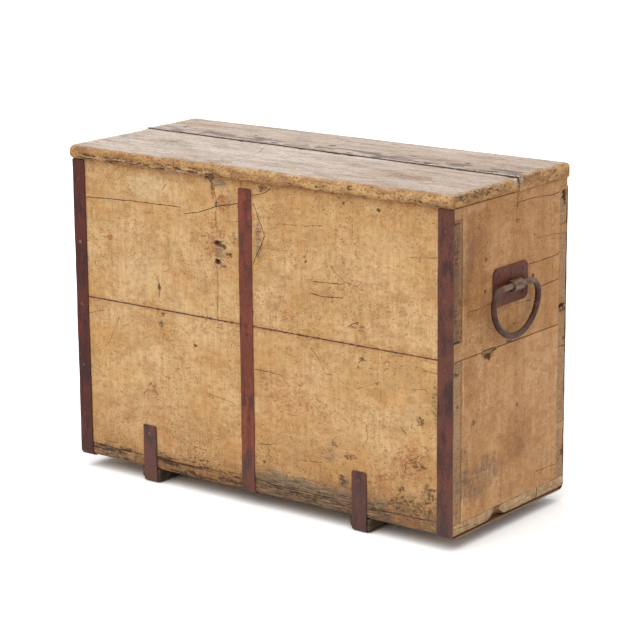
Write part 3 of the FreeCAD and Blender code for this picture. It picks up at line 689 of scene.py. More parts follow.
TONE_NAMES = ("base", "light", "orange", "greyed", "rubbed", "grime", "bare", "warm", "pale",
              "dark", "shade", "scuff")
FRONT_TONES = ((213, 167, 110), (229, 190, 137), (212, 154, 90), (192, 160, 112),
               (184, 138, 88), (122, 78, 44), (132, 120, 103), (156, 88, 54),
               (228, 198, 154), (64, 44, 30), (208, 188, 168), (118, 106, 92))
END_TONES = ((207, 157, 106), (213, 168, 120), (201, 150, 98), (188, 148, 110),
             (184, 130, 84), (126, 86, 56), (122, 102, 82), (168, 104, 68), (224, 184, 136),
             (64, 44, 32), (202, 182, 148), (116, 92, 80))
front_paint, end_paint = (
    painted_board(name, {key: tone(*shown) for key, shown in zip(TONE_NAMES, tones)})
    for name, tones in (("ochre_paint", FRONT_TONES), ("rubbed_ochre_paint", END_TONES)))
print("painted finishes:", front_paint.name, end_paint.name)

# %% [markdown]
# ## The front and back boards
# Each side of the box is two planks, one above the other. Their ends are notched for the
# pins of the end boards, and the straps hide most of that joint. The lattice gets lines at
# each notch and hole, closer ones along the rims, and cells about two and a half millimetres
# wide elsewhere on the front. The back carries the same finish but fewer marks.

# %% Plan of a board
TOP_PIN = (483.0, 500.0)
SEAM_PIN = (271.0, 299.0)
HIGH_PIN = (415.0, 429.0)
LOW_PIN = (99.5, 110.5)
JOINT_GAP = 0.2
LOCK_HOLES = ((-73.0, 395.0, 4.5), (-73.0, 366.0, 4.5))
FACE_STEP = 2.5
BACK_STEP = 4.0
RIM_REACH, RIM_STEP = 5.0, 1.3
# Depths of the lattice's lines under each face.
THROUGH_LINES = np.array([0.0, 0.8, 2.0, 4.0])
MARKS = ("paint", "end", "bare", "warm", "pale", "dark", "shade", "scuff", "line",
         "line_power")


class Plan:
    """A board before it is drawn: its box, the axis through its faces, the lines that its
    lattice has to have, its closer bands, and what is sawn out of it."""

    def __init__(self, node, axis):
        self.low, self.high = box_mm(node)
        self.axis = axis
        self.along = face_axes(axis)
        self.whole = (self.low[axis] - 1, self.high[axis] + 1)
        self.stops = {k: [] for k in self.along}
        self.fine = {k: rim_bands(self.low[k], self.high[k], RIM_REACH, RIM_STEP)
                     for k in self.along}
        self.empty = []
        self.holes = []

    def cut(self, through, first, second):
        """Leaves out a box, given by its spans through the board and along its faces."""
        spans = dict(zip((self.axis, *self.along), (through, first, second)))
        for k in self.along:
            self.stops[k] += spans[k]
        self.empty.append(tuple(zip(*(spans[k] for k in range(3)))))

    def hole(self, through, place, up, radius):
        """Leaves out a square with closer lines about it, to be turned into a round hole."""
        centre = (place, UNDERSIDE + up)
        self.cut(through, *((c - radius, c + radius) for c in centre))
        for k, c in zip(self.along, centre):
            self.fine[k].append((c - 2 * radius, c + 2 * radius, radius / 3))
        self.holes.append((centre, radius))

    def skin(self, step):
        """The lattice: even over the faces, closer by the rims, and few lines through it."""
        ends = self.low[self.axis], self.high[self.axis]
        lines = [grid_lines(self.low[k], self.high[k], step, self.stops.get(k, ()),
                            self.fine.get(k, ())) for k in range(3)]
        lines[self.axis] = np.concatenate([ends[0] + THROUGH_LINES, [sum(ends) / 2],
                                           (ends[1] - THROUGH_LINES)[::-1]])
        return cell_skin(lines, self.empty)

    def wear_rims(self, points, wear, size, seed):
        """Rounds the rims by an uneven radius, and then the holes."""
        worn = 0.7 + wear * ease(cloudy(points, size, seed), 0.05, 0.7)
        soften(points, self.low, self.high, self.axis, worn, worn)
        for centre, radius in self.holes:
            round_hole(points, self.axis, centre, radius)


plan = Plan("front_board_upper", 1)
print("a board plan runs through", [round(v, 1) for v in plan.whole], "mm")

# %% Where a face and an end are
def near_face(points, axis, face):
    """1 on a face and just behind it, and 0 deeper in the board."""
    return ease(np.abs(points[:, axis] - face), 2.2, 0.4)


def near_ends(points, start=0.9, full=0.1):
    """1 at the left and right ends of the box, and 0 further in."""
    return ease(HALF_WIDTH - np.abs(points[:, 0]), start, full)


print("pins on the right end at", LOW_PIN, SEAM_PIN, HIGH_PIN, TOP_PIN, "mm")

# %% Marks as numbers at a piece's points
def plain_marks(points, names=MARKS):
    """Marks of a board without any: no line near and nothing else."""
    marks = {key: np.zeros(len(points)) for key in names}
    marks["line"][:] = NO_LINE
    return marks


def deepen(marks, key, value):
    """Raises a mark to a value where it is below it."""
    marks[key] = np.maximum(marks[key], value)


def only_on(marks, share):
    """Keeps the marks of a face to that face; paint and sawn ends stay as they are."""
    for key in ("bare", "warm", "pale", "dark", "shade", "scuff", "line_power"):
        marks[key] = marks[key] * share


def swap(marks, here, **new):
    """Puts new marks in the place of what was here."""
    for key, value in new.items():
        marks[key] = np.where(here, value, marks[key])


print("a board carries", len(MARKS), "numbers at each point")

# %% Marks on the front, in millimetres from the middle and the underside
FRONT_LINES = (
    (1.0, -346, 438, -254, 442, -203, 443, -146, 444),
    (0.9, -138, 434, -110, 440, -73, 453, -27, 464),
    (0.45, -73, 360, -72, 335, -73, 307, -75, 273), (0.2, -73, 268, -71, 240, -73, 205),
    (0.9, -91, 500, -81, 490, -73, 469, -72, 453), (0.7, -74, 446, -74, 430),
    (0.8, 2, 466, 10, 446, 18, 431, 22, 417, 15, 401, 6, 385, -1, 370),
    (0.8, -1, 479, 14, 482, 26, 487, 35, 494), (0.3, -222, 427, -202, 428),
    (0.35, -55, 432, -27, 435), (0.5, -184, 466, -173, 480), (0.3, -268, 374, -263, 361),
    (0.3, -225, 337, -225, 326), (0.3, -192, 333, -174, 338), (0.5, 50, 441, 84, 442),
    (0.5, 101, 443, 133, 448), (0.3, 21, 399, 69, 401), (0.9, 117, 359, 130, 360, 166, 362),
    (1.0, 110, 340, 132, 338, 171, 341), (0.5, 149, 388, 162, 376, 176, 367, 199, 362),
    (0.7, 183, 299, 194, 306, 212, 301), (0.4, 296, 419, 345, 425), (0.3, 252, 344, 274, 346),
    (0.35, 317, 337, 337, 335), (0.3, 258, 470, 280, 490), (0.3, 274, 472, 289, 489),
    (0.6, 111, 255, 126, 239), (0.8, 201, 245, 207, 251, 215, 250),
    (0.6, 1, 203, 28, 203, 55, 201), (0.5, 137, 218, 155, 219, 172, 209),
    (0.4, 198, 204, 238, 220), (0.5, 294, 219, 322, 223, 328, 218), (0.5, 322, 252, 346, 250),
    (0.5, 87, 70, 130, 75), (0.7, 8, 84, 30, 85), (0.7, 279, 158, 290, 148),
    (0.4, 209, 113, 218, 131, 215, 150), (0.5, 286, 88, 289, 104, 306, 114, 328, 130),
    (0.5, -308, 197, -295, 221, -283, 247), (0.4, -348, 244, -317, 253), (0.7, -131, 54, -104, 53),
    (0.5, -98, 148, -44, 141), (0.5, -233, 125, -217, 146, -203, 128), (0.5, -199, 252, -191, 239),
    (0.7, -197, 322, -194, 307, -196, 292),
    (0.5, -348, 22, -222, 20, -100, 18, 2, 17, 212, 17, 345, 22),
)
FRONT_DARK = (
    (0.9, -71, 396, 9, 5), (0.8, -62, 392, 12, 4), (0.85, -71, 366, 8, 5), (0.5, -60, 360, 10, 4),
    (0.75, -57, 391, 5, 5), (0.8, -194, 307, 3, 9), (0.8, -188, 263, 5, 4), (0.7, -191, 248, 4, 7),
    (0.45, -337, 408, 4, 9), (0.9, 101, 388, 3, 3), (0.8, 174, 487, 3, 3), (0.8, 238, 483, 4, 4),
    (0.6, 122, 488, 4, 4), (0.7, -121, 223, 6, 3), (0.5, -73, 259, 8, 3), (0.7, -81, 484, 3, 12),
    (0.8, -73, 457, 3, 6), (0.5, -47, 379, 10, 8), (0.4, -38, 408, 8, 12), (0.7, 207, 251, 6, 4),
    (0.6, 316, 173, 9, 8), (0.5, 154, 110, 10, 6), (0.5, 183, 94, 14, 6), (0.6, 168, 54, 13, 9),
    (0.55, 280, 61, 10, 8), (0.5, 313, 104, 14, 10), (0.7, 17, 55, 4, 3), (0.6, 236, 216, 3, 7),
    (0.5, 200, 238, 4, 3), (0.5, 22, 492, 16, 7), (0.6, -85, 497, 14, 6), (0.35, 196, 300, 16, 10),
    (0.4, 340, 205, 7, 40), (0.5, 330, 60, 16, 22), (0.45, 300, 38, 60, 18),
)
FRONT_WARM = (
    (0.62, -60, 462, 16, 19), (0.6, -78, 476, 5, 17), (0.45, -78, 388, 36, 44),
    (0.7, -299, 377, 15, 5), (0.45, -216, 134, 14, 16), (0.4, -215, 170, 8, 20),
    (0.35, 60, 170, 60, 50), (0.35, -161, 193, 12, 22), (0.35, -101, 252, 12, 12),
    (0.3, -184, 231, 9, 14), (0.4, 196, 364, 34, 8), (0.35, 240, 368, 20, 8),
    (0.5, 250, 74, 26, 6), (0.3, 150, 150, 50, 30), (0.35, 20, 75, 26, 20), (0.4, 8, 418, 8, 36),
    (0.3, 230, 300, 60, 12), (0.45, 300, 100, 40, 36),
)
FRONT_PALE = (
    (0.6, -217, 470, 42, 24), (0.4, -240, 330, 50, 40), (0.3, 270, 440, 50, 30),
    (0.35, -270, 250, 60, 30), (0.35, -150, 280, 50, 20), (0.3, 110, 300, 50, 20),
    (0.3, -230, 170, 40, 40),
)
FRONT_BARE = (
    (0.6, -66, 380, 14, 22), (0.25, -52, 474, 16, 12), (0.4, 150, 90, 26, 14),
    (0.6, -66, 491, 20, 7), (0.6, 10, 417, 9, 34), (0.4, -196, 255, 10, 14),
    (0.7, 172, 50, 14, 10), (0.6, -310, 14, 40, 9), (1.0, 110, 20, 120, 20),
)
KEPT_PAINT = (
    (1.0, 300, 11, 50, 9), (0.8, 262, 22, 20, 8), (0.4, -335, 6, 30, 4),
)
BACK_LINES = (
    (0.9, -340, 402, -210, 398, -90, 404), (0.7, 60, 396, 190, 401, 300, 399),
    (0.8, -330, 150, -200, 156, -40, 149), (0.5, 90, 190, 230, 184),
    (0.5, 20, 90, 120, 94, 260, 88), (0.4, -120, 330, -20, 336), (0.4, 140, 330, 150, 360),
    (0.4, -260, 60, -200, 75),
)
print("front marks:", len(FRONT_LINES), "lines and", len(FRONT_DARK), "dark spots")

# %% Wear of the painted faces
# How far the worn strip reaches up along the front's foot, and how strong it is.
FOOT_ACROSS = (-374, -250, -200, -40, 0, 190, 230, 374)
FOOT_POWER = (0.9, 1.0, 1.0, 0.95, 1.0, 1.0, 0.9, 0.7)
FOOT_REACH = (34, 38, 46, 42, 58, 44, 42, 34)
FRONT_SEAM = 271.0


def front_marks(points, marks, on_face):
    """Lines and blots by place on the face; the lowest strip is scuffed grey, worst between
    the middle strap and the right skid, and brown dirt rises from it. Just under the lid the
    board is darker: partly dirt, partly painted shade of the lid."""
    across, up = points[:, 0], points[:, 2] - UNDERSIDE
    marks["line"], marks["line_power"] = draw_lines(across, up, FRONT_LINES, 0.9, 3)
    reach = np.interp(across, FOOT_ACROSS, FOOT_REACH)
    foot = ease(up + 0.35 * reach * cloudy(points, (34, 30, 8), 61, 4), reach, 0.4 * reach)
    foot *= np.interp(across, FOOT_ACROSS, FOOT_POWER)
    foot *= 1 - draw_blots(across, up, KEPT_PAINT, 63)
    greyer = ease(across, -40, 20)
    smudge = ease(cloudy(points, (34, 20, 2.8), 65, 4), -0.25, 0.2)
    rising = ease(up + 30 * cloudy(points, (46, 40, 26), 71, 4) - across * 0.05, 90, 6)
    uneven = cloudy(points, (20, 20, 12), 73, 4)
    seam_dirt = ease(np.abs(up - FRONT_SEAM) + 7 * uneven, 13, 1)
    # Darker and browner just under the lid's overhang: partly dirt, partly painted shade of the
    # lid.
    shade_and_dirt_under_lid = ease(up + 9 * uneven, 484, 499)
    strip = ease(up + 8 * uneven, 30, 14) * ease(across, 360, 300)
    marks["bare"] = np.maximum(draw_blots(across, up, FRONT_BARE, 9),
                               (0.3 + 0.7 * greyer) * foot)
    marks["dark"] = np.maximum(draw_blots(across, up, FRONT_DARK, 5, 7),
                               (0.85 - 0.4 * greyer) * foot * smudge)
    marks["warm"] = np.maximum.reduce([draw_blots(across, up, FRONT_WARM, 6, 9, 0.8),
                                       0.32 * rising, 0.42 * seam_dirt, 0.34 * shade_and_dirt_under_lid])
    marks["pale"] = draw_blots(across, up, FRONT_PALE, 8)
    marks["shade"] = 0.36 * ease(up, 150, 0) + 0.25 * rising + 0.3 * shade_and_dirt_under_lid + 0.1 * strip
    marks["scuff"] = np.maximum((0.2 + 0.5 * greyer) * ease(up + 22 * uneven, 60, 16),
                                0.75 * strip)
    only_on(marks, on_face)


def back_marks(points, marks, on_face, seed):
    """The back stood against a wall: broad grime that thickens downwards, and few marks."""
    across, up = points[:, 0], points[:, 2] - UNDERSIDE
    marks["line"], marks["line_power"] = draw_lines(across, up, BACK_LINES, 1.2, 13)
    low_dirt = ease(up + 40 * cloudy(points, 60, 91 + seed, 4), 90, 0)
    grimy = ease(cloudy(points, (70, 70, 50), 93, 4), 0.15, 0.6)
    marks["dark"] = np.maximum(0.7 * low_dirt, 0.3 * grimy)
    marks["bare"] = 0.4 * ease(cloudy(points, (50, 50, 14), 95, 4), 0.2, 0.7)
    only_on(marks, on_face)


def rim_grime(points, low, high, axis):
    """Paint is lost and dirt gathers along a board's rims, in a ragged band."""
    inset, _ = inset_and_depth(points, low, high, axis)
    return ease(inset + 1.6 * cloudy(points, 9, 81, 3), 1.5, 0.1)


print("the worn strip reaches up", min(FOOT_REACH), "to", max(FOOT_REACH), "mm")

# %% [markdown]
# ## Strips of sawn ends
# Where the front and back boards run past the end boards, their sawn ends show as a strip
# down each corner. Dirt and dark patina come in upright streaks there, nicks and chips are
# deeper, and part of the paint has held.

# %% Sawn ends of the front and back boards, by depth and height
STRIP_TICKS = (
    (0.9, -158, 478, -139, 477), (0.8, -157, 302, -141, 300), (0.9, -157, 275, -137, 272),
    (0.8, -159, 254, -145, 252), (0.7, -151, 290, -150, 254), (0.5, -152, 456, -149, 436),
    (0.6, 136, 236, 156, 233), (0.8, 136, 109, 158, 110),
)
REAR_CHIPS = (
    (1.5, 147, 297, 13, 8), (1.4, 151, 474, 8, 14),
)
STRIP_SPOTS = (
    *REAR_CHIPS,
    (0.7, 152, 246, 4, 4), (0.8, -146, 276, 8, 3), (0.8, -150, 300, 7, 3), (0.7, -147, 252, 7, 3),
    (0.9, -150, 478, 8, 3), (0.6, -144, 200, 3, 8), (0.6, -147, 40, 4, 10), (0.7, 151, 62, 3, 14),
)


def end_strip_marks(points, marks, ends):
    """Marks on the sawn ends alone: ticks and chips, streaks, and the dark upper front."""
    back, up = points[:, 1], points[:, 2] - UNDERSIDE
    line, power = draw_lines(back, up, STRIP_TICKS, 0.6, 23)
    streak = ease(cloudy(points, (8, 5, 40), 101, 4), -0.25, 0.4)
    upper_front = ease(back, -120, -150) * ease(up, 230, 330)
    chips = draw_blots(back, up, STRIP_SPOTS, 103, 5)
    low_scuff = 0.6 * ease(back, -100, -140) * ease(np.abs(up - 84), 44, 10)
    swap(marks, ends > 0.5, line=line, line_power=power, bare=0.1, warm=0.22,
         dark=np.maximum(chips, (0.14 + 0.55 * upper_front) * streak),
         shade=0.4 + 0.5 * upper_front,
         scuff=np.maximum(0.14 + 0.6 * upper_front, low_scuff))


print("strips carry", len(STRIP_TICKS), "ticks and", len(STRIP_SPOTS), "chips")

# %% A front or back board
def tail_board(node, rows, step, front, holes=(), housings=(), seed=0):
    """A front or back board as a lattice with its notches, holes, worn rims and marks."""
    plan = Plan(node, 1)
    plan.stops[0] += [-END_INNER, END_INNER]
    for row in rows:
        start, end = UNDERSIDE + row[0], UNDERSIDE + row[1]
        plan.stops[2] += [start + JOINT_GAP, end - JOINT_GAP]
        for side in (-1, 1):
            notch = sorted((side * END_INNER, side * (HALF_WIDTH + 1)))
            plan.cut(plan.whole, notch, (start - JOINT_GAP, end + JOINT_GAP))
    for across, up, radius in holes:
        plan.hole(plan.whole, across, up, radius)
    for across, half, deep in housings:
        plan.cut(plan.whole, (across - half, across + half),
                 (plan.high[2] - deep, plan.high[2] + 1))
    points, quads = plan.skin(step)
    outside = near_face(points, 1, plan.low[1] if front else plan.high[1])
    ends = near_ends(points)
    grime = rim_grime(points, plan.low, plan.high, 1)
    plan.wear_rims(points, 1.1, 22, seed + 1)
    uneven = 0.35 * (1 + cloudy(points, (90, 40, 40), seed + 2))
    sawn = 0.6 * ends * (1 + cloudy(points, (4, 5, 3), seed + 3))
    chips = 4 * ends * draw_blots(points[:, 1], points[:, 2] - UNDERSIDE, REAR_CHIPS, 103, 5)
    sink(points, quads, 0.5 * uneven + sawn + chips)
    marks = plain_marks(points)
    marks["paint"] = np.maximum(outside * (1 - 0.8 * grime) * (1 - ends), 0.5 * ends)
    marks["end"] = ends
    if front:
        front_marks(points, marks, outside)
    else:
        back_marks(points, marks, outside, seed)
    deepen(marks, "dark", 0.5 * grime * outside)
    end_strip_marks(points, marks, ends)
    make_piece(node, "_plank", (points, quads), front_paint, marks)


print("front boards get cells of", FACE_STEP, "mm, back boards of", BACK_STEP, "mm")

# %% [markdown]
# ## The end boards
# Each end is two planks again, and these carry the pins that run through to the front and
# back. From the side, the pins and the sawn ends of the tails make an uneven strip down each
# corner. The right end has the old holes of an earlier handle, a chip under the seam and
# long cracks that run along the grain.

# %% Marks on the ends, in millimetres from the middle and the underside
RIGHT = {
    "line": (
        (0.8, 47, 383, 86, 383, 111, 383, 139, 384), (1.0, 73, 342, 101, 343, 132, 344),
        (0.4, -90, 378, -57, 378), (0.6, -122, 341, -98, 340, -56, 342), (0.5, 12, 328, 52, 326),
        (0.75, 11, 483, 54, 484, 106, 480, 131, 481), (0.6, 13, 500, 13, 475),
        (0.45, 66, 420, 132, 416), (0.6, 76, 47, 131, 45), (0.3, -31, 207, -12, 210, 0, 218),
        (0.4, -14, 276, -6, 279, 7, 273), (0.3, -60, 180, -20, 184), (0.3, 20, 170, 26, 160),
    ),
    "dark": (
        (0.95, -74, 269, 7, 3), (0.95, -50, 269, 9, 3), (0.7, -72, 411, 4, 4),
        (0.5, 12, 457, 8, 5), (0.9, -60, 262, 12, 6), (0.7, -5, 442, 3, 3), (0.6, 61, 426, 3, 3),
        (0.6, 111, 433, 3, 3), (0.6, 115, 369, 3, 3), (0.6, -113, 296, 3, 4),
        (0.45, -103, 169, 10, 6), (0.6, 18, 169, 4, 5), (0.6, 84, 82, 3, 3), (0.35, 13, 480, 5, 6),
        (0.7, -5, 274, 9, 4), (0.9, 6, 299, 4, 2),
    ),
    "grey": (
        (0.4, -62, 264, 15, 8), (0.35, -30, 330, 24, 14),
    ),
    "scuff": (
        (0.8, -134, 82, 44, 40), (0.65, -85, 84, 46, 34), (0.5, -40, 88, 46, 24),
        (0.3, 12, 98, 56, 18), (0.45, -122, 410, 22, 90),
    ),
    "pale": (
        (0.8, -37, 242, 3, 3), (0.3, 60, 200, 60, 60), (0.3, -80, 220, 40, 50),
        (0.3, 40, 450, 40, 20),
    ),
    "shade": (
        (0.75, -98, 400, 44, 130), (0.5, -30, 480, 120, 26), (0.5, 20, 120, 60, 40),
        (0.5, -110, 250, 26, 60), (0.4, 110, 330, 40, 60), (0.3, -110, 150, 44, 110),
    ),
}
LEFT = {
    "line": (
        (0.8, -120, 380, -60, 384, -30, 383), (0.7, 40, 345, 125, 341), (0.5, -110, 190, -30, 186),
        (0.6, 10, 120, 120, 124), (0.4, -90, 455, 10, 459),
    ),
    "dark": (
        (0.6, 60, 300, 8, 5), (0.5, -90, 260, 14, 6), (0.35, 30, 60, 50, 22),
    ),
}
TORN_CHIP = (1.0, -62, 265, 16, 9)
print("marks on the right end:", {key: len(rows) for key, rows in RIGHT.items()})

# %% Wear of the end boards
def side_marks(points, marks, on_face, rows):
    """Lines, dark spots and the grey scuffs low on the right end, by depth and height; then
    streaks, and a pale edge by the front corner where hands rub."""
    back, up = points[:, 1], points[:, 2] - UNDERSIDE
    marks["line"], marks["line_power"] = draw_lines(back, up, rows["line"], 0.8, 33)
    grey = draw_blots(back, up, rows.get("grey", ()), 35)
    upright = cloudy(points, (12, 12, 160), 41, 4)
    golden = 0.22 * ease(up, FRONT_SEAM - 1, FRONT_SEAM + 1)
    pale_edge = ease(np.abs(back + 129 + 2.5 * cloudy(points, 60, 37)), 3.6, 0.6)
    pale_edge *= 0.3 + 0.45 * ease(cloudy(points, (20, 20, 60), 45), -0.3, 0.4)
    streaks = 0.45 * ease(cloudy(points, (14, 14, 170), 43, 4), 0.1, 0.7)
    marks["dark"] = np.maximum(draw_blots(back, up, rows["dark"], 34, 6), 0.3 * grey)
    marks["bare"] = 0.8 * grey
    marks["shade"] = np.maximum(0.9 * draw_blots(back, up, RIGHT["shade"], 39),
                                golden + 0.35 * ease(upright, -0.1, 0.7))
    marks["pale"] = np.maximum.reduce([draw_blots(back, up, rows.get("pale", ()), 36),
                                       pale_edge, streaks])
    marks["warm"] = 0.3 * ease(cloudy(points, (30, 30, 60), 38), 0.1, 0.6)
    marks["scuff"] = draw_blots(back, up, rows.get("scuff", ()), 40, 26, 0.8)
    only_on(marks, on_face)


print("a chip", 2 * TORN_CHIP[3], "mm long is torn out under the right end's seam")

# %% An end board
def end_board(node, side, rows_front, rows_back, holes=(), bored=True, seed=0):
    """An end board: a plank as deep as the box, with cells left out between its pins."""
    plan = Plan(node, 0)
    low, high = plan.low, plan.high
    plan.stops[1] += [-WALL_INNER, WALL_INNER]
    for where, rows in ((-1, rows_front), (1, rows_back)):
        wall = sorted((where * WALL_INNER, where * (HALF_DEPTH + 1)))
        level = low[2] - 1
        for start, end in rows:
            plan.cut(plan.whole, wall, (level, max(level, UNDERSIDE + start)))
            level = UNDERSIDE + end
        plan.cut(plan.whole, wall, (level, high[2] + 1))
    for back, radius, deep in holes:
        plan.hole((high[0] - deep, high[0] + 1), back, HANDLE_UP, radius)
    if bored:
        shank = [(middle - SHANK_HALF, middle + SHANK_HALF) for middle in
                 (HANDLE_Y, UNDERSIDE + HANDLE_UP)]
        plan.cut(plan.whole, *shank)
    points, quads = plan.skin(FACE_STEP)
    outside = near_face(points, 0, high[0] if side > 0 else low[0])
    grime = rim_grime(points, np.array([low[0], -WALL_INNER, low[2]]),
                      np.array([high[0], WALL_INNER, high[2]]), 0)
    plan.wear_rims(points, 1.2, 20, seed + 1)
    waves = 0.2 * (1 + cloudy(points, (40, 90, 30), seed + 2))
    torn = draw_blots(points[:, 1], points[:, 2] - UNDERSIDE, (TORN_CHIP,), 12)
    at_right = ease(HALF_WIDTH - points[:, 0], 3, 1)
    sink(points, quads, waves + 4 * at_right * torn)
    marks = plain_marks(points)
    marks["paint"] = outside * (1 - 0.2 * grime)
    side_marks(points, marks, outside, RIGHT if side > 0 else LEFT)
    pins = ease(np.abs(points[:, 1]), WALL_INNER - 0.5, WALL_INNER + 0.5)
    deepen(marks, "dark", 0.2 * grime * outside * (1 - pins))
    deepen(marks, "dark", 0.12 * pins)
    make_piece(node, "_plank", (points, quads), end_paint, marks)


print("between its rows of pins, an end board is", round(2 * WALL_INNER, 1), "mm deep")

# %% Make the front, the back and the ends
HANDLE_Y, HANDLE_UP = -7.0, 363.0
SHANK_HALF = 4.2
OLD_HOLES = ((HANDLE_Y - 65.5, 3.0, 12.0), (HANDLE_Y + 65.5, 3.0, 12.0))
HINGES = (("left", -212.0), ("right", 148.0))
HOUSINGS = [(across, 14.3, 2.8) for _, across in HINGES]
UPPER_ROWS = ((SEAM_PIN, TOP_PIN), (HIGH_PIN, TOP_PIN))

tail_board("front_board_lower", (), FACE_STEP, True, seed=100)
tail_board("front_board_upper", (SEAM_PIN, TOP_PIN), FACE_STEP, True, LOCK_HOLES, seed=110)
tail_board("back_board_lower", (LOW_PIN,), BACK_STEP, False, seed=120)
tail_board("back_board_upper", (HIGH_PIN, TOP_PIN), BACK_STEP, False, (), HOUSINGS, seed=130)
end_board("right_end_lower", 1, (), (LOW_PIN,), bored=False, seed=140)
end_board("right_end_upper", 1, *UPPER_ROWS, OLD_HOLES, seed=150)
end_board("left_end_lower", -1, (), (LOW_PIN,), bored=False, seed=160)
end_board("left_end_upper", -1, *UPPER_ROWS, seed=170)
print("walls are in place")

# %% [markdown]
# ## The bottom boards
# Two boards under the walls close the box, and their edges show as the scuffed strip along
# its foot. The outer lower edges are rounded where the straps bend over them, so a square
# corner of the lattice is turned into an arc. A piece has broken out under the right end.

# %% Bottom boards with rounded edges and the broken place
BOTTOM_ROUND = 8.0
BREAK_FRONT, BREAK_TOP, BREAK_REAR = -70.0, -37.0, -6.0
BREAK_HIGH, BREAK_DEEP = 16.0, 14.0
# Depth and height on the ends of the bottom boards.
FOOT_CRACKS = (
    (1.8, 77, 0, 78, 20), (0.7, -126, 19, -118, 7, -118, 0), (0.6, -150, 14, -112, 12),
    (0.5, -4, 9, 40, 12), (0.5, 96, 12, 138, 10), (0.5, -100, 8, -84, 5),
)


def broken_place(points, low, high):
    """Lifts the underside near the right end: highest at the middle of the break, nothing
    at its sides, and ragged; layers above are squeezed by the same share."""
    ragged = cloudy(points * np.array((1, 1, 0)), 7, 201, 3)
    back = points[:, 1] + 3 * ragged
    sideways = ease(back, BREAK_FRONT, BREAK_TOP) * ease(back, BREAK_REAR, BREAK_TOP)
    inward = ease(points[:, 0] + 4 * ragged, high[0] - BREAK_DEEP, high[0] - BREAK_DEEP * 0.45)
    lift = BREAK_HIGH * sideways * inward
    points[:, 2] += lift * (high[2] - points[:, 2]) / (high[2] - low[2])
    return lift / BREAK_HIGH


def bottom_board(node, outer_side, seed):
    """A bottom board; its outer edges are round, its faces raw and its rim painted."""
    plan = Plan(node, 2)
    low, high = plan.low, plan.high
    for k in plan.along:
        plan.fine[k] += rim_bands(low[k], high[k], 10, 1.6)
    points, quads = plan.skin(BACK_STEP)
    rim = np.minimum(HALF_WIDTH - np.abs(points[:, 0]),
                     np.abs(points[:, 1] - outer_side * HALF_DEPTH))
    ends = near_ends(points)
    broken = broken_place(points, low, high) if outer_side < 0 else 0 * rim
    round_corner(points, low, high, 0, BOTTOM_ROUND, outer_side, -1)
    for side in (-1, 1):
        round_corner(points, low, high, 1, BOTTOM_ROUND, side, -1)
    soften(points, low, high, 2, 0.8, 1.0 + 0.8 * value_noise(points, 18, seed))
    gouged = 1.3 * ease(cloudy(points, (24, 12, 9), seed + 1, 4), 0.1, 0.7)
    sink(points, quads, gouged + 0.9 * broken * value_noise(points, 3, seed + 2))
    marks = plain_marks(points)
    rim_face = ease(rim, 7.0, 1.5)
    marks["paint"] = rim_face * (1 - 0.85 * broken) * (1 - 0.6 * ends)
    marks["end"] = 0.8 * ends * (1 - broken)
    if outer_side < 0:
        front_marks(points, marks, rim_face)
    at_end = near_ends(points, 3.0, 0.5)
    only_on(marks, 1 - at_end)
    back, up = points[:, 1], points[:, 2] - UNDERSIDE
    line, power = draw_lines(back, up, FOOT_CRACKS, 0.5, 25)
    swap(marks, at_end > 0.5, line=line, line_power=power)
    dirt = ease(cloudy(points, (9, 16, 5), 27, 4), 0.0, 0.5)
    marks["shade"] += 0.08 * at_end
    marks["bare"] += 0.4 * at_end * dirt
    marks["pale"] = 0.45 * at_end * (1 - dirt)
    marks["scuff"] += 0.3 * at_end * dirt
    deepen(marks, "dark", 0.75 * broken * ease(broken, 0.5, 0.9))
    make_piece(node, "_plank", (points, quads), front_paint, marks)


bottom_board("bottom_board_front", -1, 210)
bottom_board("bottom_board_rear", 1, 220)

# %% [markdown]
# ## Skids
# Two rough battens lift the box off the ground. Their wood is nearly black, and their lower
# edges are knocked off. Each is one block of cells with rounded lower ends, like a sledge, and
# a chamfer along one edge.

# %% Finish of bare, dirty wood
def bare_finish(name, light, dark, grime, long):
    """Raw wood: stretched noise for grain, soft dirt in broad patches and dark specks."""
    look = new_finish(name)
    grain = look.cloud(long, 1, 6, 0.62)
    colour = look.mix(look.ease(grain, 0.32, 0.66), light, dark)
    broad = look.cloud((34, 34, 34), 2, 4)
    colour = look.mix(look.ease(broad, 0.42, 0.7, 0.75), colour, grime)
    specks = look.patch((3, 3, 3), 3, 4, 0.58, 0.7)
    colour = look.mix(look.times(specks, 0.6), colour, grime)
    height = look.relief((grain, 0.5), (specks, -0.3))
    return look.close(colour, broad, 0.15, 0.75, height, 0.25)


skid_wood = bare_finish("dark_skid_wood", tone(118, 96, 74), tone(66, 52, 42),
                        tone(40, 33, 29), (3.2, 140, 3.2))
BATTEN_SHADES = (tone(146, 110, 74), tone(112, 90, 66))
batten_wood = bare_finish("batten_pine", tone(190, 154, 110), *BATTEN_SHADES, (3.2, 120, 3.2))
seam_wood = bare_finish("seam_batten_pine", tone(188, 152, 108), *BATTEN_SHADES,
                        (120, 3.2, 3.2))


def skid(node, seed):
    """A skid: round lower ends, one knocked-off edge and a gouged surface."""
    low, high = box_mm(node)
    points, quads = block_skin(low, high, (2.5, 7.0, 1.2), (4.0, 6.0, 1.0), (1.8, 0, 1.8))
    for end in (-1, 1):
        round_corner(points, low, high, 0, 4.0, end, -1)
    round_corner(points, low, high, 1, 6.0, -1, -1, flat=0.8)
    soften(points, low, high, 2, 0.5, 0.5)
    sink(points, quads, 1.6 * ease(cloudy(points, (7, 40, 7), seed, 4), -0.1, 0.8))
    make_piece(node, "_wood", (points, quads), skid_wood, {})


skid("skid_left", 230)
skid("skid_right", 240)

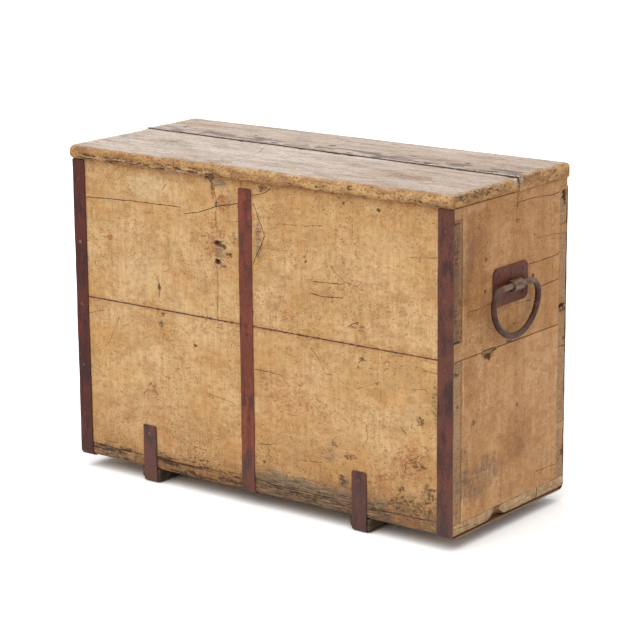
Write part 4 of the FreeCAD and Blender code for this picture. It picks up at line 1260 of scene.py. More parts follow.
# %% [markdown]
# ## Iron straps bent round the box
# Each strap is one length of flat iron: down the front, round the lower edge, under the
# bottom and up the back. A smith bends a straight bar, and so does this cell. A block of
# cells is shaped flat, with hammered faces and edges that wander, and then every point is
# carried along a path of straight runs and bends.

# %% Finish of painted iron
# A darker tone for the lower part of the middle strap, and a dust tone for iron under the bottom.
LOW_DARK_TONE, DUST = tone(70, 56, 54), tone(150, 118, 90)
# Light, middle and dark paint, bare metal, and how much of it the wear lets through.
IRONS = {
    "strap_iron": ((142, 74, 53), (118, 61, 46), (80, 46, 38), (120, 94, 84), 0.35),
    "dark_strap_iron": ((112, 65, 52), (90, 55, 48), (63, 43, 40), (92, 76, 74), 0.5),
    "left_strap_iron": ((100, 46, 35), (78, 37, 31), (54, 31, 28), (86, 66, 60), 0.3),
    "plate_iron": ((113, 58, 36), (93, 49, 32), (66, 38, 28), (96, 60, 42), 0.3),
    "hinge_iron": ((88, 64, 54), (74, 56, 50), (52, 42, 40), (112, 100, 94), 0.5),
    "nail_iron": ((92, 62, 54), (78, 56, 52), (50, 42, 42), (128, 116, 112), 0.6),
    "strap_nail_iron": ((122, 64, 48), (98, 52, 42), (70, 42, 36), (146, 118, 104), 0.5),
}


def oxide_iron(name, light, base, dark, steel, wear):
    """Iron under red oxide paint: mottled, rubbed to grey on its high spots, pitted."""
    look = new_finish(name)
    broad = look.cloud((60, 60, 60), 1, 4)
    colour = look.mix(look.ease(broad, 0.36, 0.64), light, base)
    streak = look.cloud((14, 14, 46), 2, 5, 0.6)
    colour = look.mix(look.ease(streak, 0.45, 0.66, 0.9), colour, dark)
    fine = look.cloud((3.4, 3.4, 4.5), 3, 6, 0.65)
    colour = look.mix(look.ease(fine, 0.52, 0.68, 0.7), colour, dark)
    rubbed = look.patch((9, 9, 16), 4, 5, 0.58, 0.72)
    rubbed = look.sum(rubbed, look.mark("worn"), "MAXIMUM")
    colour = look.mix(look.times(rubbed, wear), colour, steel)
    dots = look.ease(look.dots((5.5, 5.5, 5.5), 5), 0.2, 0.1)
    dots = look.times(dots, look.ease(broad, 0.46, 0.56))
    colour = look.mix(look.times(dots, 0.4), colour, steel)
    # Darker where the mesh says so: the middle strap towards its foot.
    colour = look.mix(look.mark("low_dark"), colour, LOW_DARK_TONE)
    colour = look.mix(look.mark("dust"), colour, DUST)
    height = look.relief((fine, 0.45), (streak, 0.4), (dots, -0.2))
    return look.close(colour, fine, 0.22, 0.44, height, 0.2, 0.05)


irons = {name: oxide_iron(name, *(tone(*shown) for shown in tones), wear)
         for name, (*tones, wear) in IRONS.items()}
print("irons:", ", ".join(irons))

# %% Walk along a path
def walk(along, place, heading, runs):
    """Goes from a place by runs of (length, radius): a bend adds its radius times the change
    of the heading's sine across and takes off that of its cosine upward."""
    across, up, headed = (np.full(len(along), float(value)) for value in (*place, heading))
    start = 0.0
    for length, radius in runs:
        gone = np.clip(along - start, 0, length)
        if radius:
            now = heading + gone / radius
            across += radius * (np.sin(now) - math.sin(heading))
            up -= radius * (np.cos(now) - math.cos(heading))
            headed += gone / radius
            heading += length / radius
        else:
            across += gone * math.cos(heading)
            up += gone * math.sin(heading)
        start += length
    return across, up, headed


quarter = walk(np.array([10 * math.pi / 2]), (0, 0), 0, [(10 * math.pi / 2, 10)])
print("a quarter turn of radius 10 ends at", *(round(float(v[0]), 2) for v in quarter))

# %% A strap, shaped flat and then bent
def iron_strap(node, foot, bend, tops, look, seed, low_dark_share=0.0):
    """A flat bar shaped straight and then bent to a U; tops are its ends' heights."""
    low, high = box_mm(node)
    inner = foot + IRON
    quarter = bend * math.pi / 2
    down, rise = (top - inner - bend for top in tops)
    runs = ((down, 0.0), (quarter, bend), (2 * (HALF_DEPTH - bend), 0.0), (quarter, bend),
            (rise, 0.0))
    length = sum(run for run, _ in runs)
    far = length - rise
    flat_low = np.array([low[0], 0.0, 0.0])
    flat_high = np.array([high[0], IRON, length])
    close_by = ((down - 2, down + quarter + 2, 1.2), (far - quarter - 2, far + 2, 1.2),
                *rim_bands(0.0, length, 3.0, 0.8))
    lines = [grid_lines(low[0], high[0], 2.2, (), rim_bands(low[0], high[0], 2.5, 0.6)),
             grid_lines(0.0, IRON, 0.5), grid_lines(0.0, length, 3.0, (), close_by)]
    points, quads = cell_skin(lines)
    for side in (-1, 1):
        for end in (-1, 1):
            round_corner(points, flat_low, flat_high, 1, 2.5, side, end)
    soften(points, flat_low, flat_high, 1, 0.3, 0.7)
    inset = np.minimum(points[:, 0] - low[0], high[0] - points[:, 0])
    worn = ease(inset + 1.2 * cloudy(points, (6, 6, 20), seed, 3), 1.2, 0.2)
    edge = np.stack([np.sign(points[:, 0] - low[0] - inset) * 50, 0 * inset, points[:, 2]], 1)
    middle = (low[0] + high[0]) / 2
    share = (points[:, 0] - middle) / (high[0] - middle)
    points[:, 0] -= share * 0.7 * value_noise(edge, 26, seed + 1)
    outer = ease(points[:, 1], 0.5 * IRON, IRON)
    points[:, 1] -= outer * 0.5 * value_noise(points, (14, 14, 20), seed + 2)
    points[:, 1] -= outer * 0.12 * value_noise(points, 3, seed + 3)
    back, up, heading = walk(points[:, 2], (-HALF_DEPTH, tops[0]), -math.pi / 2, runs)
    points = np.stack([points[:, 0], back + points[:, 1] * np.sin(heading),
                       up - points[:, 1] * np.cos(heading)], axis=1)
    low_wear = 0.7 * ease(points[:, 2] + 30 * cloudy(points, 30, seed + 4), 150, 20)
    worn = np.maximum(worn, low_wear) * outer
    under = ease(points[:, 2], UNDERSIDE + 1, UNDERSIDE - 0.3) * (foot > IRON)
    dust = 0.85 * under * ease(np.abs(points[:, 1]), HALF_DEPTH - 2, HALF_DEPTH - 12)
    # Only the middle strap gets darker towards its foot.
    low_dark = low_dark_share * ease(points[:, 2] + 16 * cloudy(points, 24, seed + 5), 100, 60)
    make_piece(node, "_strap", (points, quads), irons[look],
               {"worn": worn * (1 - dust), "dust": dust, "low_dark": low_dark})


SIDE_TOP, MIDDLE_TOP, BACK_TOP = BODY_TOP - 1, BODY_TOP - 12, BODY_TOP - 12
FOOT_TOP = UNDERSIDE + 74
BANDS = ("band_left", "band_middle", "band_right")
FOOT_BANDS = ("foot_band_left", "foot_band_right")
LOOKS = ((SIDE_TOP, "left_strap_iron", 0.0), (MIDDLE_TOP, "strap_iron", 0.5),
         (SIDE_TOP, "dark_strap_iron", 0.0))
for number, (node, (top, look, low_dark_share)) in enumerate(zip(BANDS, LOOKS)):
    iron_strap(node, UNDERSIDE - IRON, 8.0, (top, BACK_TOP), look, 250 + 10 * number, low_dark_share)
for number, node in enumerate(FOOT_BANDS):
    iron_strap(node, 0.0, 4.0, (FOOT_TOP, FOOT_TOP), "dark_strap_iron", 290 + 10 * number)

# %% [markdown]
# ## Round work: nails, eyes, pins and bails
# Forged round parts are profiles turned about an axis or bars carried along a path. Both are
# grids of two parameters: how far along the profile, and how far round. A closed profile
# gives a ring or a tube; an open one is shut by a pole at each end.

# %% Grids of two parameters
def wrapped_quads(rows, columns, close_rows):
    """Quads of a grid that is wrapped round its columns, and round its rows if wanted."""
    row = np.arange(rows if close_rows else rows - 1)[:, None]
    column = np.arange(columns)[None, :]
    below, right = (row + 1) % rows, (column + 1) % columns
    corners = ((row, column), (row, right), (below, right), (below, column))
    return np.stack([(r * columns + c).ravel() for r, c in corners], axis=1)


def turned(profile, sides, wobble=0.0, seed=0):
    """A shape turned about local z: a point at (radius, height) goes to
    (radius cos a, radius sin a, height); the radius may wobble round the turn."""
    profile = np.array(profile, float)
    angle = np.arange(sides) * 2 * math.pi / sides
    closed = profile[0, 0] > 0
    rings = profile if closed else profile[1:-1]
    swell = 1 - wobble * np.random.default_rng(seed).random(sides)
    radius = rings[:, :1] * swell[None, :]
    points = np.stack([radius * np.cos(angle), radius * np.sin(angle),
                       np.broadcast_to(rings[:, 1:], radius.shape)], axis=2).reshape(-1, 3)
    quads = wrapped_quads(len(rings), sides, closed)
    if closed:
        return points, quads
    fan = np.arange(0, sides, 2)
    last = (len(rings) - 1) * sides
    pole = np.full(len(fan), len(points))
    wider = (fan + 2) % sides
    fans = ((pole, wider, fan + 1, fan), (pole + 1, last + fan, last + fan + 1, last + wider))
    poles = [(0.0, 0.0, profile[0, 1]), (0.0, 0.0, profile[-1, 1])]
    quads = np.concatenate([quads, *(np.stack(one, 1) for one in fans)])
    return np.concatenate([points, poles]), quads


print("a turned cone of 12 sides has", len(turned(((0, 1), (1, 0), (0, 0)), 12)[0]), "points")

# %% Place and join shapes
def placed(shape, place, outward, turn=0.0):
    """Stands a shape on a place so that its z axis looks outward, turned about that axis;
    all its quads turn over when the volume that they enclose comes out negative."""
    points, quads = shape
    outward = np.array(outward, float)
    helper = np.array((0.0, 0.0, 1.0) if abs(outward[2]) < 0.9 else (1.0, 0.0, 0.0))
    side = np.cross(helper, outward)
    side = side / np.linalg.norm(side)
    other = np.cross(outward, side)
    first = math.cos(turn) * side + math.sin(turn) * other
    second = math.cos(turn) * other - math.sin(turn) * side
    points = points @ np.array([first, second, outward]) + np.array(place)
    return points, outward_quads(points, quads)


def outward_quads(points, quads):
    """Quads that face outward, by the sign of the volume that they enclose."""
    a, b, c, d = (points[quads[:, k]] for k in range(4))
    volume = np.sum(np.cross(c - a, d - b) * (a + b + c + d))
    return quads if volume > 0 else quads[:, ::-1]


def joined(shapes):
    """Several (points, quads) as one; each one's quads are moved past the points before."""
    starts = np.cumsum([0] + [len(points) for points, _ in shapes[:-1]])
    return (np.concatenate([points for points, _ in shapes]),
            np.concatenate([quads + start for (_, quads), start in zip(shapes, starts)]))


cone = turned(((0, 1), (1, 0), (0, 0)), 12)
both = joined([cone, placed(cone, (0, 0, 5), (1, 0, 0))])
print("two cones joined have", len(both[0]), "points")

# %% Forged nails
NAIL_PROFILE = ((0.0, 1.3), (1.5, 1.22), (2.7, 0.85), (3.4, 0.3), (3.5, 0.02), (3.2, -0.05),
                (1.4, -0.1), (1.1, -7.0), (0.0, -14.5))
BAND_NAILS = (50, 154, 258, 362, 466)
FOOT_NAILS = (60,)


def nails(node, spots, look, body, seed, tall=1.0, glint_and_wear=0.0):
    """All nails of one kind: low uneven domes, each turned and bent a little by itself."""
    random = np.random.default_rng(seed)
    profile = np.array(NAIL_PROFILE) * (1.0, tall)
    shapes, worn = [], []
    for number, (place, outward) in enumerate(spots):
        points, quads = turned(profile, 12, 0.14, seed + number)
        head = points[:, 2] > 0
        tilt = random.uniform(-0.05, 0.05, 2)
        points[:, 2] -= head * np.clip(points[:, :2] @ tilt, 0, 1)
        shapes.append(placed((points, quads), place, outward, random.uniform(0, 6.28)))
        # Some heads are lighter steel: partly worn bare metal, partly a painted glint.
        worn.append(np.full(len(points), glint_and_wear * random.uniform(-0.6, 1.4)))
    make_piece(node, "_forged", joined(shapes), irons[look],
               {"worn": np.clip(np.concatenate(worn), 0, 1)}, body, 60)


def strap_spots(nodes, heights):
    """Nails up the middle of each strap, on the front and on the back."""
    middles = [sum(corner[0] for corner in box_mm(node)) / 2 for node in nodes]
    return [((middle, side * (HALF_DEPTH + IRON), UNDERSIDE + height), (0, side, 0))
            for middle in middles for height in heights for side in (-1, 1)]


nails("band_nails", strap_spots(BANDS, BAND_NAILS), "strap_nail_iron", "chest", 300, 0.75, 0.7)
nails("foot_band_nails", strap_spots(FOOT_BANDS, FOOT_NAILS), "strap_nail_iron", "chest", 340,
      0.75, 1.0)

# %% [markdown]
# ## Drop handles
# Each end has a wrought plate with clipped corners, an eye riveted through plate and board,
# and a bail of round bar that swings in the eye. The bail is a bar carried along its own
# path: straight through the eye, a tight corner, one wide bow and back.

# %% Finish of handled iron
def handled_iron():
    """Bare iron browned by hands: dark patina with a soft grey shine where it is held."""
    look = new_finish("forged_iron")
    broad = look.cloud((22, 22, 22), 1, 4)
    colour = look.mix(look.ease(broad, 0.38, 0.62), tone(84, 48, 38), tone(62, 38, 32))
    fine = look.cloud((2.6, 2.6, 2.6), 2, 5, 0.65)
    colour = look.mix(look.ease(fine, 0.5, 0.68, 0.7), colour, tone(46, 32, 27))
    rubbed = look.patch((7, 7, 7), 3, 4, 0.55, 0.7, 0.22)
    rubbed = look.sum(rubbed, look.mark("worn"), "MAXIMUM")
    colour = look.mix(look.times(rubbed, 0.7), colour, tone(154, 126, 100))
    height = look.relief((fine, 0.4), (broad, 0.6))
    return look.close(colour, fine, 0.2, 0.36, height, 0.25, 0.08)


ring_iron = handled_iron()
print("handles are of", ring_iron.name)

# %% Bail
STANDOFF = 12.0
HANDLE_Z = UNDERSIDE + HANDLE_UP
BAR = 5.0
CORNER, SIDE, BOW = 23.0, 50.0, 65.556
STRAIGHT = (38.0, 0.0)
TURNS = ((CORNER * math.pi / 2, -CORNER), (SIDE * math.pi / 4, -SIDE))
BAIL_RUNS = (STRAIGHT, *TURNS, (BOW * math.pi / 2, -BOW), *TURNS[::-1], STRAIGHT)


def bail(node, side, seed):
    """Round bar along the bail's path: the section's point at angle a stands at the bar's
    radius times cos a across the path and sin a out of its plane; hammering shrinks it."""
    length = sum(run for run, _ in BAIL_RUNS)
    rows, sides = 240, 28
    along = np.repeat(np.arange(rows) * length / rows, sides)
    angle = np.tile(np.arange(sides) * 2 * math.pi / sides, rows)
    back, up, heading = walk(along, (0.0, 0.0), 0.0, BAIL_RUNS)
    loop = np.stack([40 * np.cos(along / length * 2 * math.pi),
                     40 * np.sin(along / length * 2 * math.pi), angle * 4], axis=1)
    from_eye = np.minimum(along, length - along)
    in_eye = ease(from_eye, 22, 13)
    hammered = value_noise(loop, (9, 9, 6), seed) * (1 - in_eye)
    thin = 0.5 * in_eye * ease(np.cos(angle + 0.4), 0.2, 1.0)
    radius = BAR - 0.55 * hammered - 0.3 * thin - 0.02
    flat = (BAR - 0.35) / np.maximum(np.abs(np.cos(angle - 0.8)), 0.2)
    radius = np.minimum(radius, flat)
    across = radius * np.cos(angle)
    points = np.stack([side * (HALF_WIDTH + STANDOFF) + radius * np.sin(angle),
                       HANDLE_Y + back + across * np.sin(heading),
                       HANDLE_Z + up - across * np.cos(heading)], axis=1)
    quads = outward_quads(points, wrapped_quads(rows, sides, True))
    held = ease(np.abs(along / length - 0.5), 0.2, 0.02) * ease(np.cos(angle), -0.2, 0.9)
    near_eye = ease(from_eye, 80, 30) * ease(loop[:, 0], -10, 30)
    blotchy = ease(value_noise(loop, (9, 9, 5), seed + 1), 0.3, 0.6)
    make_piece(node, "_bail", (points, quads), ring_iron,
               {"worn": 0.3 * held + 0.8 * near_eye * blotchy},
               "handle_right" if side > 0 else "handle_left", 80)


print("a bail takes", round(sum(run for run, _ in BAIL_RUNS)), "mm of bar")

# %% Plate
def block(low, high, step, axis, radius, rough, seed):
    """A small forged block: rounded rims and a hammered, slightly sunk surface."""
    low, high = np.array(low, float), np.array(high, float)
    points, quads = block_skin(low, high, *[(step, 1.5, 0.5)] * 3)
    soften(points, low, high, axis, radius, radius)
    sink(points, quads, rough * value_noise(points, 7, seed))
    return points, quads


def handle_plate(node, side, seed):
    """The plate: clipped corners, worn rims and a dent where the bail knocks it."""
    low, high = box_mm(node)
    points, quads = block_skin(low, high, (0.6, 0, 0.6), *[(2.0, 9.0, 1.0)] * 2)
    for back in (-1, 1):
        for up in (-1, 1):
            round_corner(points, low, high, 0, 8.0, back, up, flat=0.85)
    soften(points, low, high, 0, 0.9, 0.9)
    inset, _ = inset_and_depth(points, low, high, 0)
    outer = high[0] if side > 0 else low[0]
    facing = ease(np.abs(points[:, 0] - outer), 2.0, 0.5)
    hollow = 0.5 * value_noise(points, (9, 17, 17), seed)
    hollow += 0.15 * value_noise(points, 4, seed + 1)
    points[:, 0] -= side * facing * hollow
    worn = ease(inset + 1.5 * cloudy(points, 8, seed + 2, 3), 2.0, 0.3) * facing
    make_piece(node, "_wrought", (points, quads), irons["plate_iron"],
               {"worn": worn})


print("a plate is", *(round(b - a, 1) for a, b in zip(*box_mm("handle_plate_left"))), "mm")

# %% Eye, washer and the whole handle
EYE_BORE, EYE_OUTER, EYE_HALF = 5.08, 8.66, 13.5
# Half of the barrel's section, as radius and distance in from its end.
BARREL = ((EYE_BORE, 0.6), (EYE_BORE + 0.6, 0.0), (EYE_OUTER - 1.0, 0.0),
          (EYE_OUTER - 0.2, 0.4), (EYE_OUTER, 1.4))
# Neck and shank: span outward from the end board, half-width, half-height, rim.
NECK, SHANK = ((3.0, 6.4), 10.0, 5.5, 0.8), ((-25.5, 3.2), 4.0, 4.0, 0.3)


def staple(node, side, seed):
    """The eye and its shank: a bored barrel, a neck down to the plate, a square shank
    through the board and a riveted end."""
    barrel = [(radius, -EYE_HALF + inward) for radius, inward in BARREL]
    barrel += [(EYE_OUTER, 0.0)] + [(radius, -place) for radius, place in barrel[::-1]]
    centre = (side * (HALF_WIDTH + STANDOFF), HANDLE_Y, HANDLE_Z)
    shapes = [placed(turned(barrel, 36), centre, (0, 1, 0))]
    for span, wide, tall, radius in (NECK, SHANK):
        a, b = sorted(side * (HALF_WIDTH + out) for out in span)
        shapes.append(block((a, HANDLE_Y - wide, HANDLE_Z - tall),
                            (b, HANDLE_Y + wide, HANDLE_Z + tall), 2.5, 0, radius, 0.25, seed))
    shape = joined(shapes)
    worn = ease(value_noise(shape[0], 6, seed), 0.25, 0.75)
    make_piece(node, "_eye", shape, ring_iron, {"worn": worn}, crease=50)


def washer(node, seed):
    """The square washer under the rivet, inside the box."""
    shape = block(*box_mm(node), 2.5, 0, 0.5, 0.2, seed)
    make_piece(node, "_square", shape, irons["plate_iron"],
               {"worn": np.zeros(len(shape[0]))})


plate_spots = [((side * (HALF_WIDTH + 3.0), HANDLE_Y + along, HANDLE_Z + rise), (side, 0, 0))
               for side in (-1, 1) for along in (-33.0, 33.0) for rise in (-19.0, 19.0)]
nails("handle_plate_nails", plate_spots, "nail_iron", "chest", 360, 0.95)
for side, hand in ((-1, "left"), (1, "right")):
    seed = 400 + 20 * side
    handle_plate("handle_plate_" + hand, side, seed)
    staple("handle_staple_" + hand, side, seed + 4)
    washer("handle_washer_" + hand, seed + 5)
    bail("handle_ring_" + hand, side, seed + 6)
print("bails have", round(EYE_BORE - BAR, 2), "mm of play, at", round(HANDLE_Z, 1), "mm up")

# %% [markdown]
# ## The lid
# Two planks of different thickness make the lid, with a seam that slants because the tree
# did. The top is bare and grey, with a worn grey strip along the seam, and old ochre paint
# is left on its rounded edges. The lattice is square, so the slant comes from a warp: lines
# near the seam follow it, and lines near the outer edge stay straight.

# %% Finish of the lid
TOP_LAYERS = (
    ((240, 26, 90), 2, 4, 0.45, 0.68, 0.7, tone(188, 164, 140)),
    ((60, 20, 40), 8, 5, 0.50, 0.68, 0.6, tone(150, 140, 138)),
    ((110, 30, 90), 3, 4, 0.50, 0.66, 0.7, tone(214, 204, 194)),
    ((26, 2, 9), 9, 5, 0.53, 0.67, 0.7, tone(128, 106, 92)),
    ((16, 4, 9), 11, 5, 0.52, 0.66, 0.5, tone(226, 214, 202)),
    ((8, 2.2, 3), 5, 5, 0.57, 0.68, 0.8, tone(94, 74, 62)),
    ((4.5, 1.5, 2), 13, 5, 0.56, 0.65, 0.6, tone(108, 88, 74)),
    ((30, 1.3, 6), 14, 4, 0.57, 0.67, 0.5, tone(236, 226, 214)),
)
WORN_STAINS = (("warm", 0.75, tone(150, 116, 86)), ("grey", 0.85, tone(120, 110, 112)))
RIM_STAINS = (("pale", 0.9, tone(226, 206, 182)), ("dark", 0.85, tone(72, 56, 46)))


def lid_finish():
    """Weathered top, painted edges: the mesh says where paint, dirt and worn places are."""
    look = new_finish("weathered_lid")
    grain = look.cloud((120, 3, 120), 1, 6, 0.68)
    colour = look.mix(look.ease(grain, 0.36, 0.64), tone(231, 216, 203), tone(178, 158, 143))
    colour = look.layers(colour, 0.64, TOP_LAYERS)
    fine = look.cloud((22, 3, 4), 4, 6, 0.68)
    colour = look.stains(colour, fine, WORN_STAINS)
    colour = look.mix(look.mark("end"), colour, rough_end_grain(look)[0])
    chipped = look.cloud((5, 4, 3.2), 6, 6, 0.72)
    ochre = look.mix(look.patch((26, 26, 9), 7, 5, 0.36, 0.64), tone(216, 172, 116),
                     tone(176, 134, 90))
    specks = look.patch((4, 4, 3), 10, 5, 0.5, 0.65, 0.8)
    ochre = look.mix(specks, ochre, tone(112, 78, 50))
    chips = look.times(look.ragged("paint", chipped, 2.8), 0.7)
    cover = look.sum(chips, look.times(look.mark("paint"), 0.3))
    colour = look.mix(cover, colour, ochre)
    colour = look.mix(look.mark("shade"), colour, tone(204, 184, 166), "MULTIPLY")
    colour = look.stains(colour, chipped, RIM_STAINS)
    line = look.crack()
    colour = look.mix(line, colour, CRACK_BLACK)
    height = look.relief((grain, 0.5), (fine, 0.25), (specks, -0.2), (line, -0.9))
    return look.close(colour, fine, 0.12, 0.72, height, 0.2)


lid_wood = lid_finish()
print("lid finish with", len(TOP_LAYERS), "layers on top")

# %% Marks of the lid, in millimetres
LID_LOW, LID_HIGH = box_mm("lid_front_plank")
LID_REAR = box_mm("lid_rear_plank")[1]
SEAM_LEFT, SEAM_RIGHT, SEAM_GAP = 34.0, 9.0, 2.5
SEAM_MIDDLE = (SEAM_LEFT + SEAM_RIGHT) / 2
# Two rows of nails, each (distance behind the seam, places across).
NAIL_ROWS = ((6.0, (-263.3, -106.2, 50.9, 199.0)),
             (42.0, (-328.0, -175.8, -14.2, 148.9, 254.3)))
LID_MARKS = ("paint", "end", "warm", "grey", "pale", "dark", "shade", "line", "line_power")
LID_LINES = (
    (0.7, -68, -68, -74, -52, -80, -34, -95, -9), (0.35, -180, -100, -60, -104, 60, -101),
    (0.3, 60, -60, 220, -57), (0.5, 196, 120, 300, 118), (0.4, -330, 110, -230, 112),
    (0.35, -300, -70, -190, -72), (0.3, 150, -120, 330, -118),
)
LID_DARK = (
    (0.5, -255, -41, 18, 9), (0.35, -78, -149, 16, 9), (0.3, 40, -84, 40, 8),
    (0.4, 229, -76, 26, 8), (1.1, -212, 157, 13, 6), (1.1, 148, 157, 13, 6), (0.5, 320, 20, 24, 6),
)
LID_WARM = (
    (0.5, -255, -41, 50, 20), (0.5, -78, -140, 40, 18), (0.35, 40, -84, 60, 20),
    (0.5, 229, -76, 60, 24), (0.4, 330, 60, 50, 50), (0.4, 180, 60, 90, 20),
)
# Depth and height up the right end of the lid.
LID_END_DARK = (
    (0.8, -138, 16, 22, 7), (0.6, -112, 19, 24, 4), (0.5, -60, 20, 22, 3), (0.6, -40, 10, 5, 3),
    (0.5, -90, 6, 16, 3), (0.7, 70, 18, 60, 5), (1.0, -98, 16, 44, 7), (0.9, -42, 17, 38, 6),
)
# Place across and height on the front edge.
EDGE_DENTS = (
    (1.0, -300, 531, 30, 4), (0.7, -60, 529, 20, 4), (1.1, 194, 537, 10, 5), (0.8, 22, 525, 16, 3),
    (0.9, 78, 527, 22, 4), (1.0, 136, 529, 16, 5), (0.8, 170, 536, 8, 3), (0.6, 232, 526, 18, 3),
    (0.9, 296, 532, 20, 5), (0.5, -358, 532, 4, 3), (0.7, 346, 527, 18, 3), (1.0, 314, 530, 22, 4),
    (0.8, 252, 533, 20, 3),
)


def seam_at(across):
    """How far back the front plank's seam edge is, on a straight slant."""
    share = (across - LID_LOW[0]) / (LID_HIGH[0] - LID_LOW[0])
    return SEAM_LEFT + (SEAM_RIGHT - SEAM_LEFT) * share


nail_spots = [(across, seam_at(across) + SEAM_GAP + behind)
              for behind, row in NAIL_ROWS for across in row]
print("the seam runs from", SEAM_LEFT, "to", SEAM_RIGHT, "mm, with", len(nail_spots), "nails")

# %% Wear of the lid
def lid_marks(points, up_share, seam_side, front):
    """Paint on the outer edges, which fades over their rims; grey wear along the seam, rust
    about the nails, torn wood at the seam's right end."""
    marks = plain_marks(points, LID_MARKS)
    across, back, up = points.T
    from_front, from_right = back - LID_LOW[1], LID_HIGH[0] - across
    from_back, from_left = LID_REAR[1] - back, across - LID_LOW[0]
    ragged = cloudy(points, (26, 12, 9), 501, 4)
    outer = np.minimum.reduce([from_right, from_front, from_back, from_left])
    risen = up_share * (LID_HIGH[2] - LID_LOW[2])
    top = ease(up_share, 0.9, 0.98)
    front_face, end_face = ease(from_front, 9, 4), ease(from_right, 8, 2)
    # Paint, and the lines and worn strip of the top.
    bleached = ease(np.minimum(from_front, from_right) - np.minimum(from_back, from_left),
                    -6, 6)
    over_rim = risen + np.clip(outer, 0, 60) + 17 * bleached
    marks["paint"] = ease(outer, 18, 9) * ease(over_rim + 6.0 * ragged, 38, 17)
    marks["line"], power = draw_lines(across, back, LID_LINES, 1.2, 503)
    marks["line_power"] = power * top
    strip = ease(np.abs(back - seam_at(across) - 22 + 9 * ragged), 24, 8) * (0 if front else 1)
    patchy = ease(cloudy(points, (36, 10, 20), 515, 4), -0.2, 0.25)
    marks["grey"] = 0.85 * strip * patchy * top
    marks["warm"] = draw_blots(across, back, LID_WARM, 505) * top
    # Dark spots and rust on top, dents and frayed wood along the edges.
    marks["dark"] = draw_blots(across, back, LID_DARK, 507) * top
    rust = [(0.8, *spot, 8, 5) for spot in nail_spots]
    deepen(marks, "dark", draw_blots(across, back, rust, 517, 5, 0.9) * top * (not front))
    dents = draw_blots(across, up, EDGE_DENTS, 509, 6, 0.9)
    splinters = ease(cloudy(points, (16, 9, 2.6), 521, 4), -0.15, 0.3)
    deepen(marks, "dark", 0.75 * front_face * dents * (0.3 + 0.7 * splinters))
    frayed = ease(risen + 5 * ragged, 14, 7) * ease(across, 40, -130) * ease(across, -366, -340)
    foot = ease(risen + 4 * ragged, 7, 1) * ease(outer, 10, 4)
    deepen(marks, "dark", splinters * np.maximum(0.45 * foot, 0.9 * frayed * front_face))
    end_spots = draw_blots(back, risen, LID_END_DARK, 519, 6, 0.9)
    deepen(marks, "dark", end_face * end_spots * (0.35 + 0.5 * splinters))
    browner = 0.6 * front_face * ease(across, 200, -330)
    dimmer = 0.3 * top * np.maximum(ease(across, 60, 260), 0.0 if front else 0.8)
    marks["shade"] = np.maximum.reduce([0.35 * end_face, 0.5 * foot, browner, dimmer])
    # Torn wood at the right end of the seam, and the dark gap itself.
    torn = ease(np.hypot((across - 378) / 18, (back - seam_at(across)) / 15) + 0.6 * ragged,
                1.1, 0.5) * ease(up_share, 0.3, 0.75)
    marks["pale"] = 0.8 * torn * ease(cloudy(points, 5, 511, 3), -0.2, 0.2)
    deepen(marks, "pale", 0.35 * frayed * front_face * (1 - splinters))
    deepen(marks, "dark", 0.6 * torn * ease(cloudy(points, 4, 513, 3), 0.1, 0.5))
    marks["paint"] *= 1 - 0.6 * torn
    gap = ease(seam_side, 1.2, 0.3) * (1 - top) * ease(from_right, 1, 4)
    marks["end"] = 0.5 * gap
    deepen(marks, "dark", gap)
    return marks, torn


print("a lid plank carries", len(LID_MARKS), "numbers at each point")

# %% Lid planks
def lid_plank(node, front, radii, seed):
    """A lid plank: worn rims, round outer corners and a slanted seam edge. The radii are of
    its foot, its top and its corners."""
    low, high = box_mm(node)
    square = np.array([low, high])
    square[1 if front else 0, 1] = SEAM_MIDDLE + (0 if front else SEAM_GAP)
    low, high = square
    points, quads = block_skin(low, high, (3.0, 12.0, 1.6), (2.6, 10.0, 1.4), (1.1, 0, 1.1))
    up_share = (points[:, 2] - low[2]) / (high[2] - low[2])
    outer_y = -1 if front else 1
    fixed, moving = (low[1], high[1])[::-outer_y]
    seam_side = np.abs(points[:, 1] - moving)
    at_seam = ease(seam_side, 10.0, 2.0)
    wear = 1 + 0.25 * cloudy(points, (34, 30, 30), seed, 3)
    foot, top, corner = radii
    soften(points, low, high, 2, (foot * (1 - at_seam) + 0.6 * at_seam) * wear,
           (top * (1 - at_seam) + 1.3 * at_seam) * wear)
    for side in (-1, 1):
        round_corner(points, low, high, 2, corner, side, outer_y)
    share = (points[:, 1] - fixed) / (moving - fixed)
    points[:, 1] += share * (seam_at(points[:, 0]) - SEAM_MIDDLE)
    marks, torn = lid_marks(points, up_share, seam_side, front)
    dents = 2.2 * marks["dark"] * ease(points[:, 1] - LID_LOW[1], 12, 3)
    waves = 0.35 * (1 + cloudy(points, (90, 20, 40), seed + 1))
    torn_deep = torn * 3.2 * value_noise(points, (7, 4, 5), seed + 2)
    seam_wear = at_seam * 1.1 * ease(cloudy(points, (16, 9, 9), seed + 3, 3), 0.0, 0.6)
    sink(points, quads, dents + waves + torn_deep + seam_wear)
    make_piece(node, "_board", (points, quads), lid_wood, marks, "lid")


lid_plank("lid_front_plank", True, (7.0, 9.0, 14.0), 520)
lid_plank("lid_rear_plank", False, (4.0, 8.0, 8.0), 530)

# %% [markdown]
# ## Under the lid
# Battens keep the planks flat: one across each end and one along the slanted seam. The lid's
# nails stand in two staggered rows with their heads beaten flush. Two strap hinges join the
# lid to the back.

# %% Battens and lid nails
LID_NAIL_RISE = 1.3


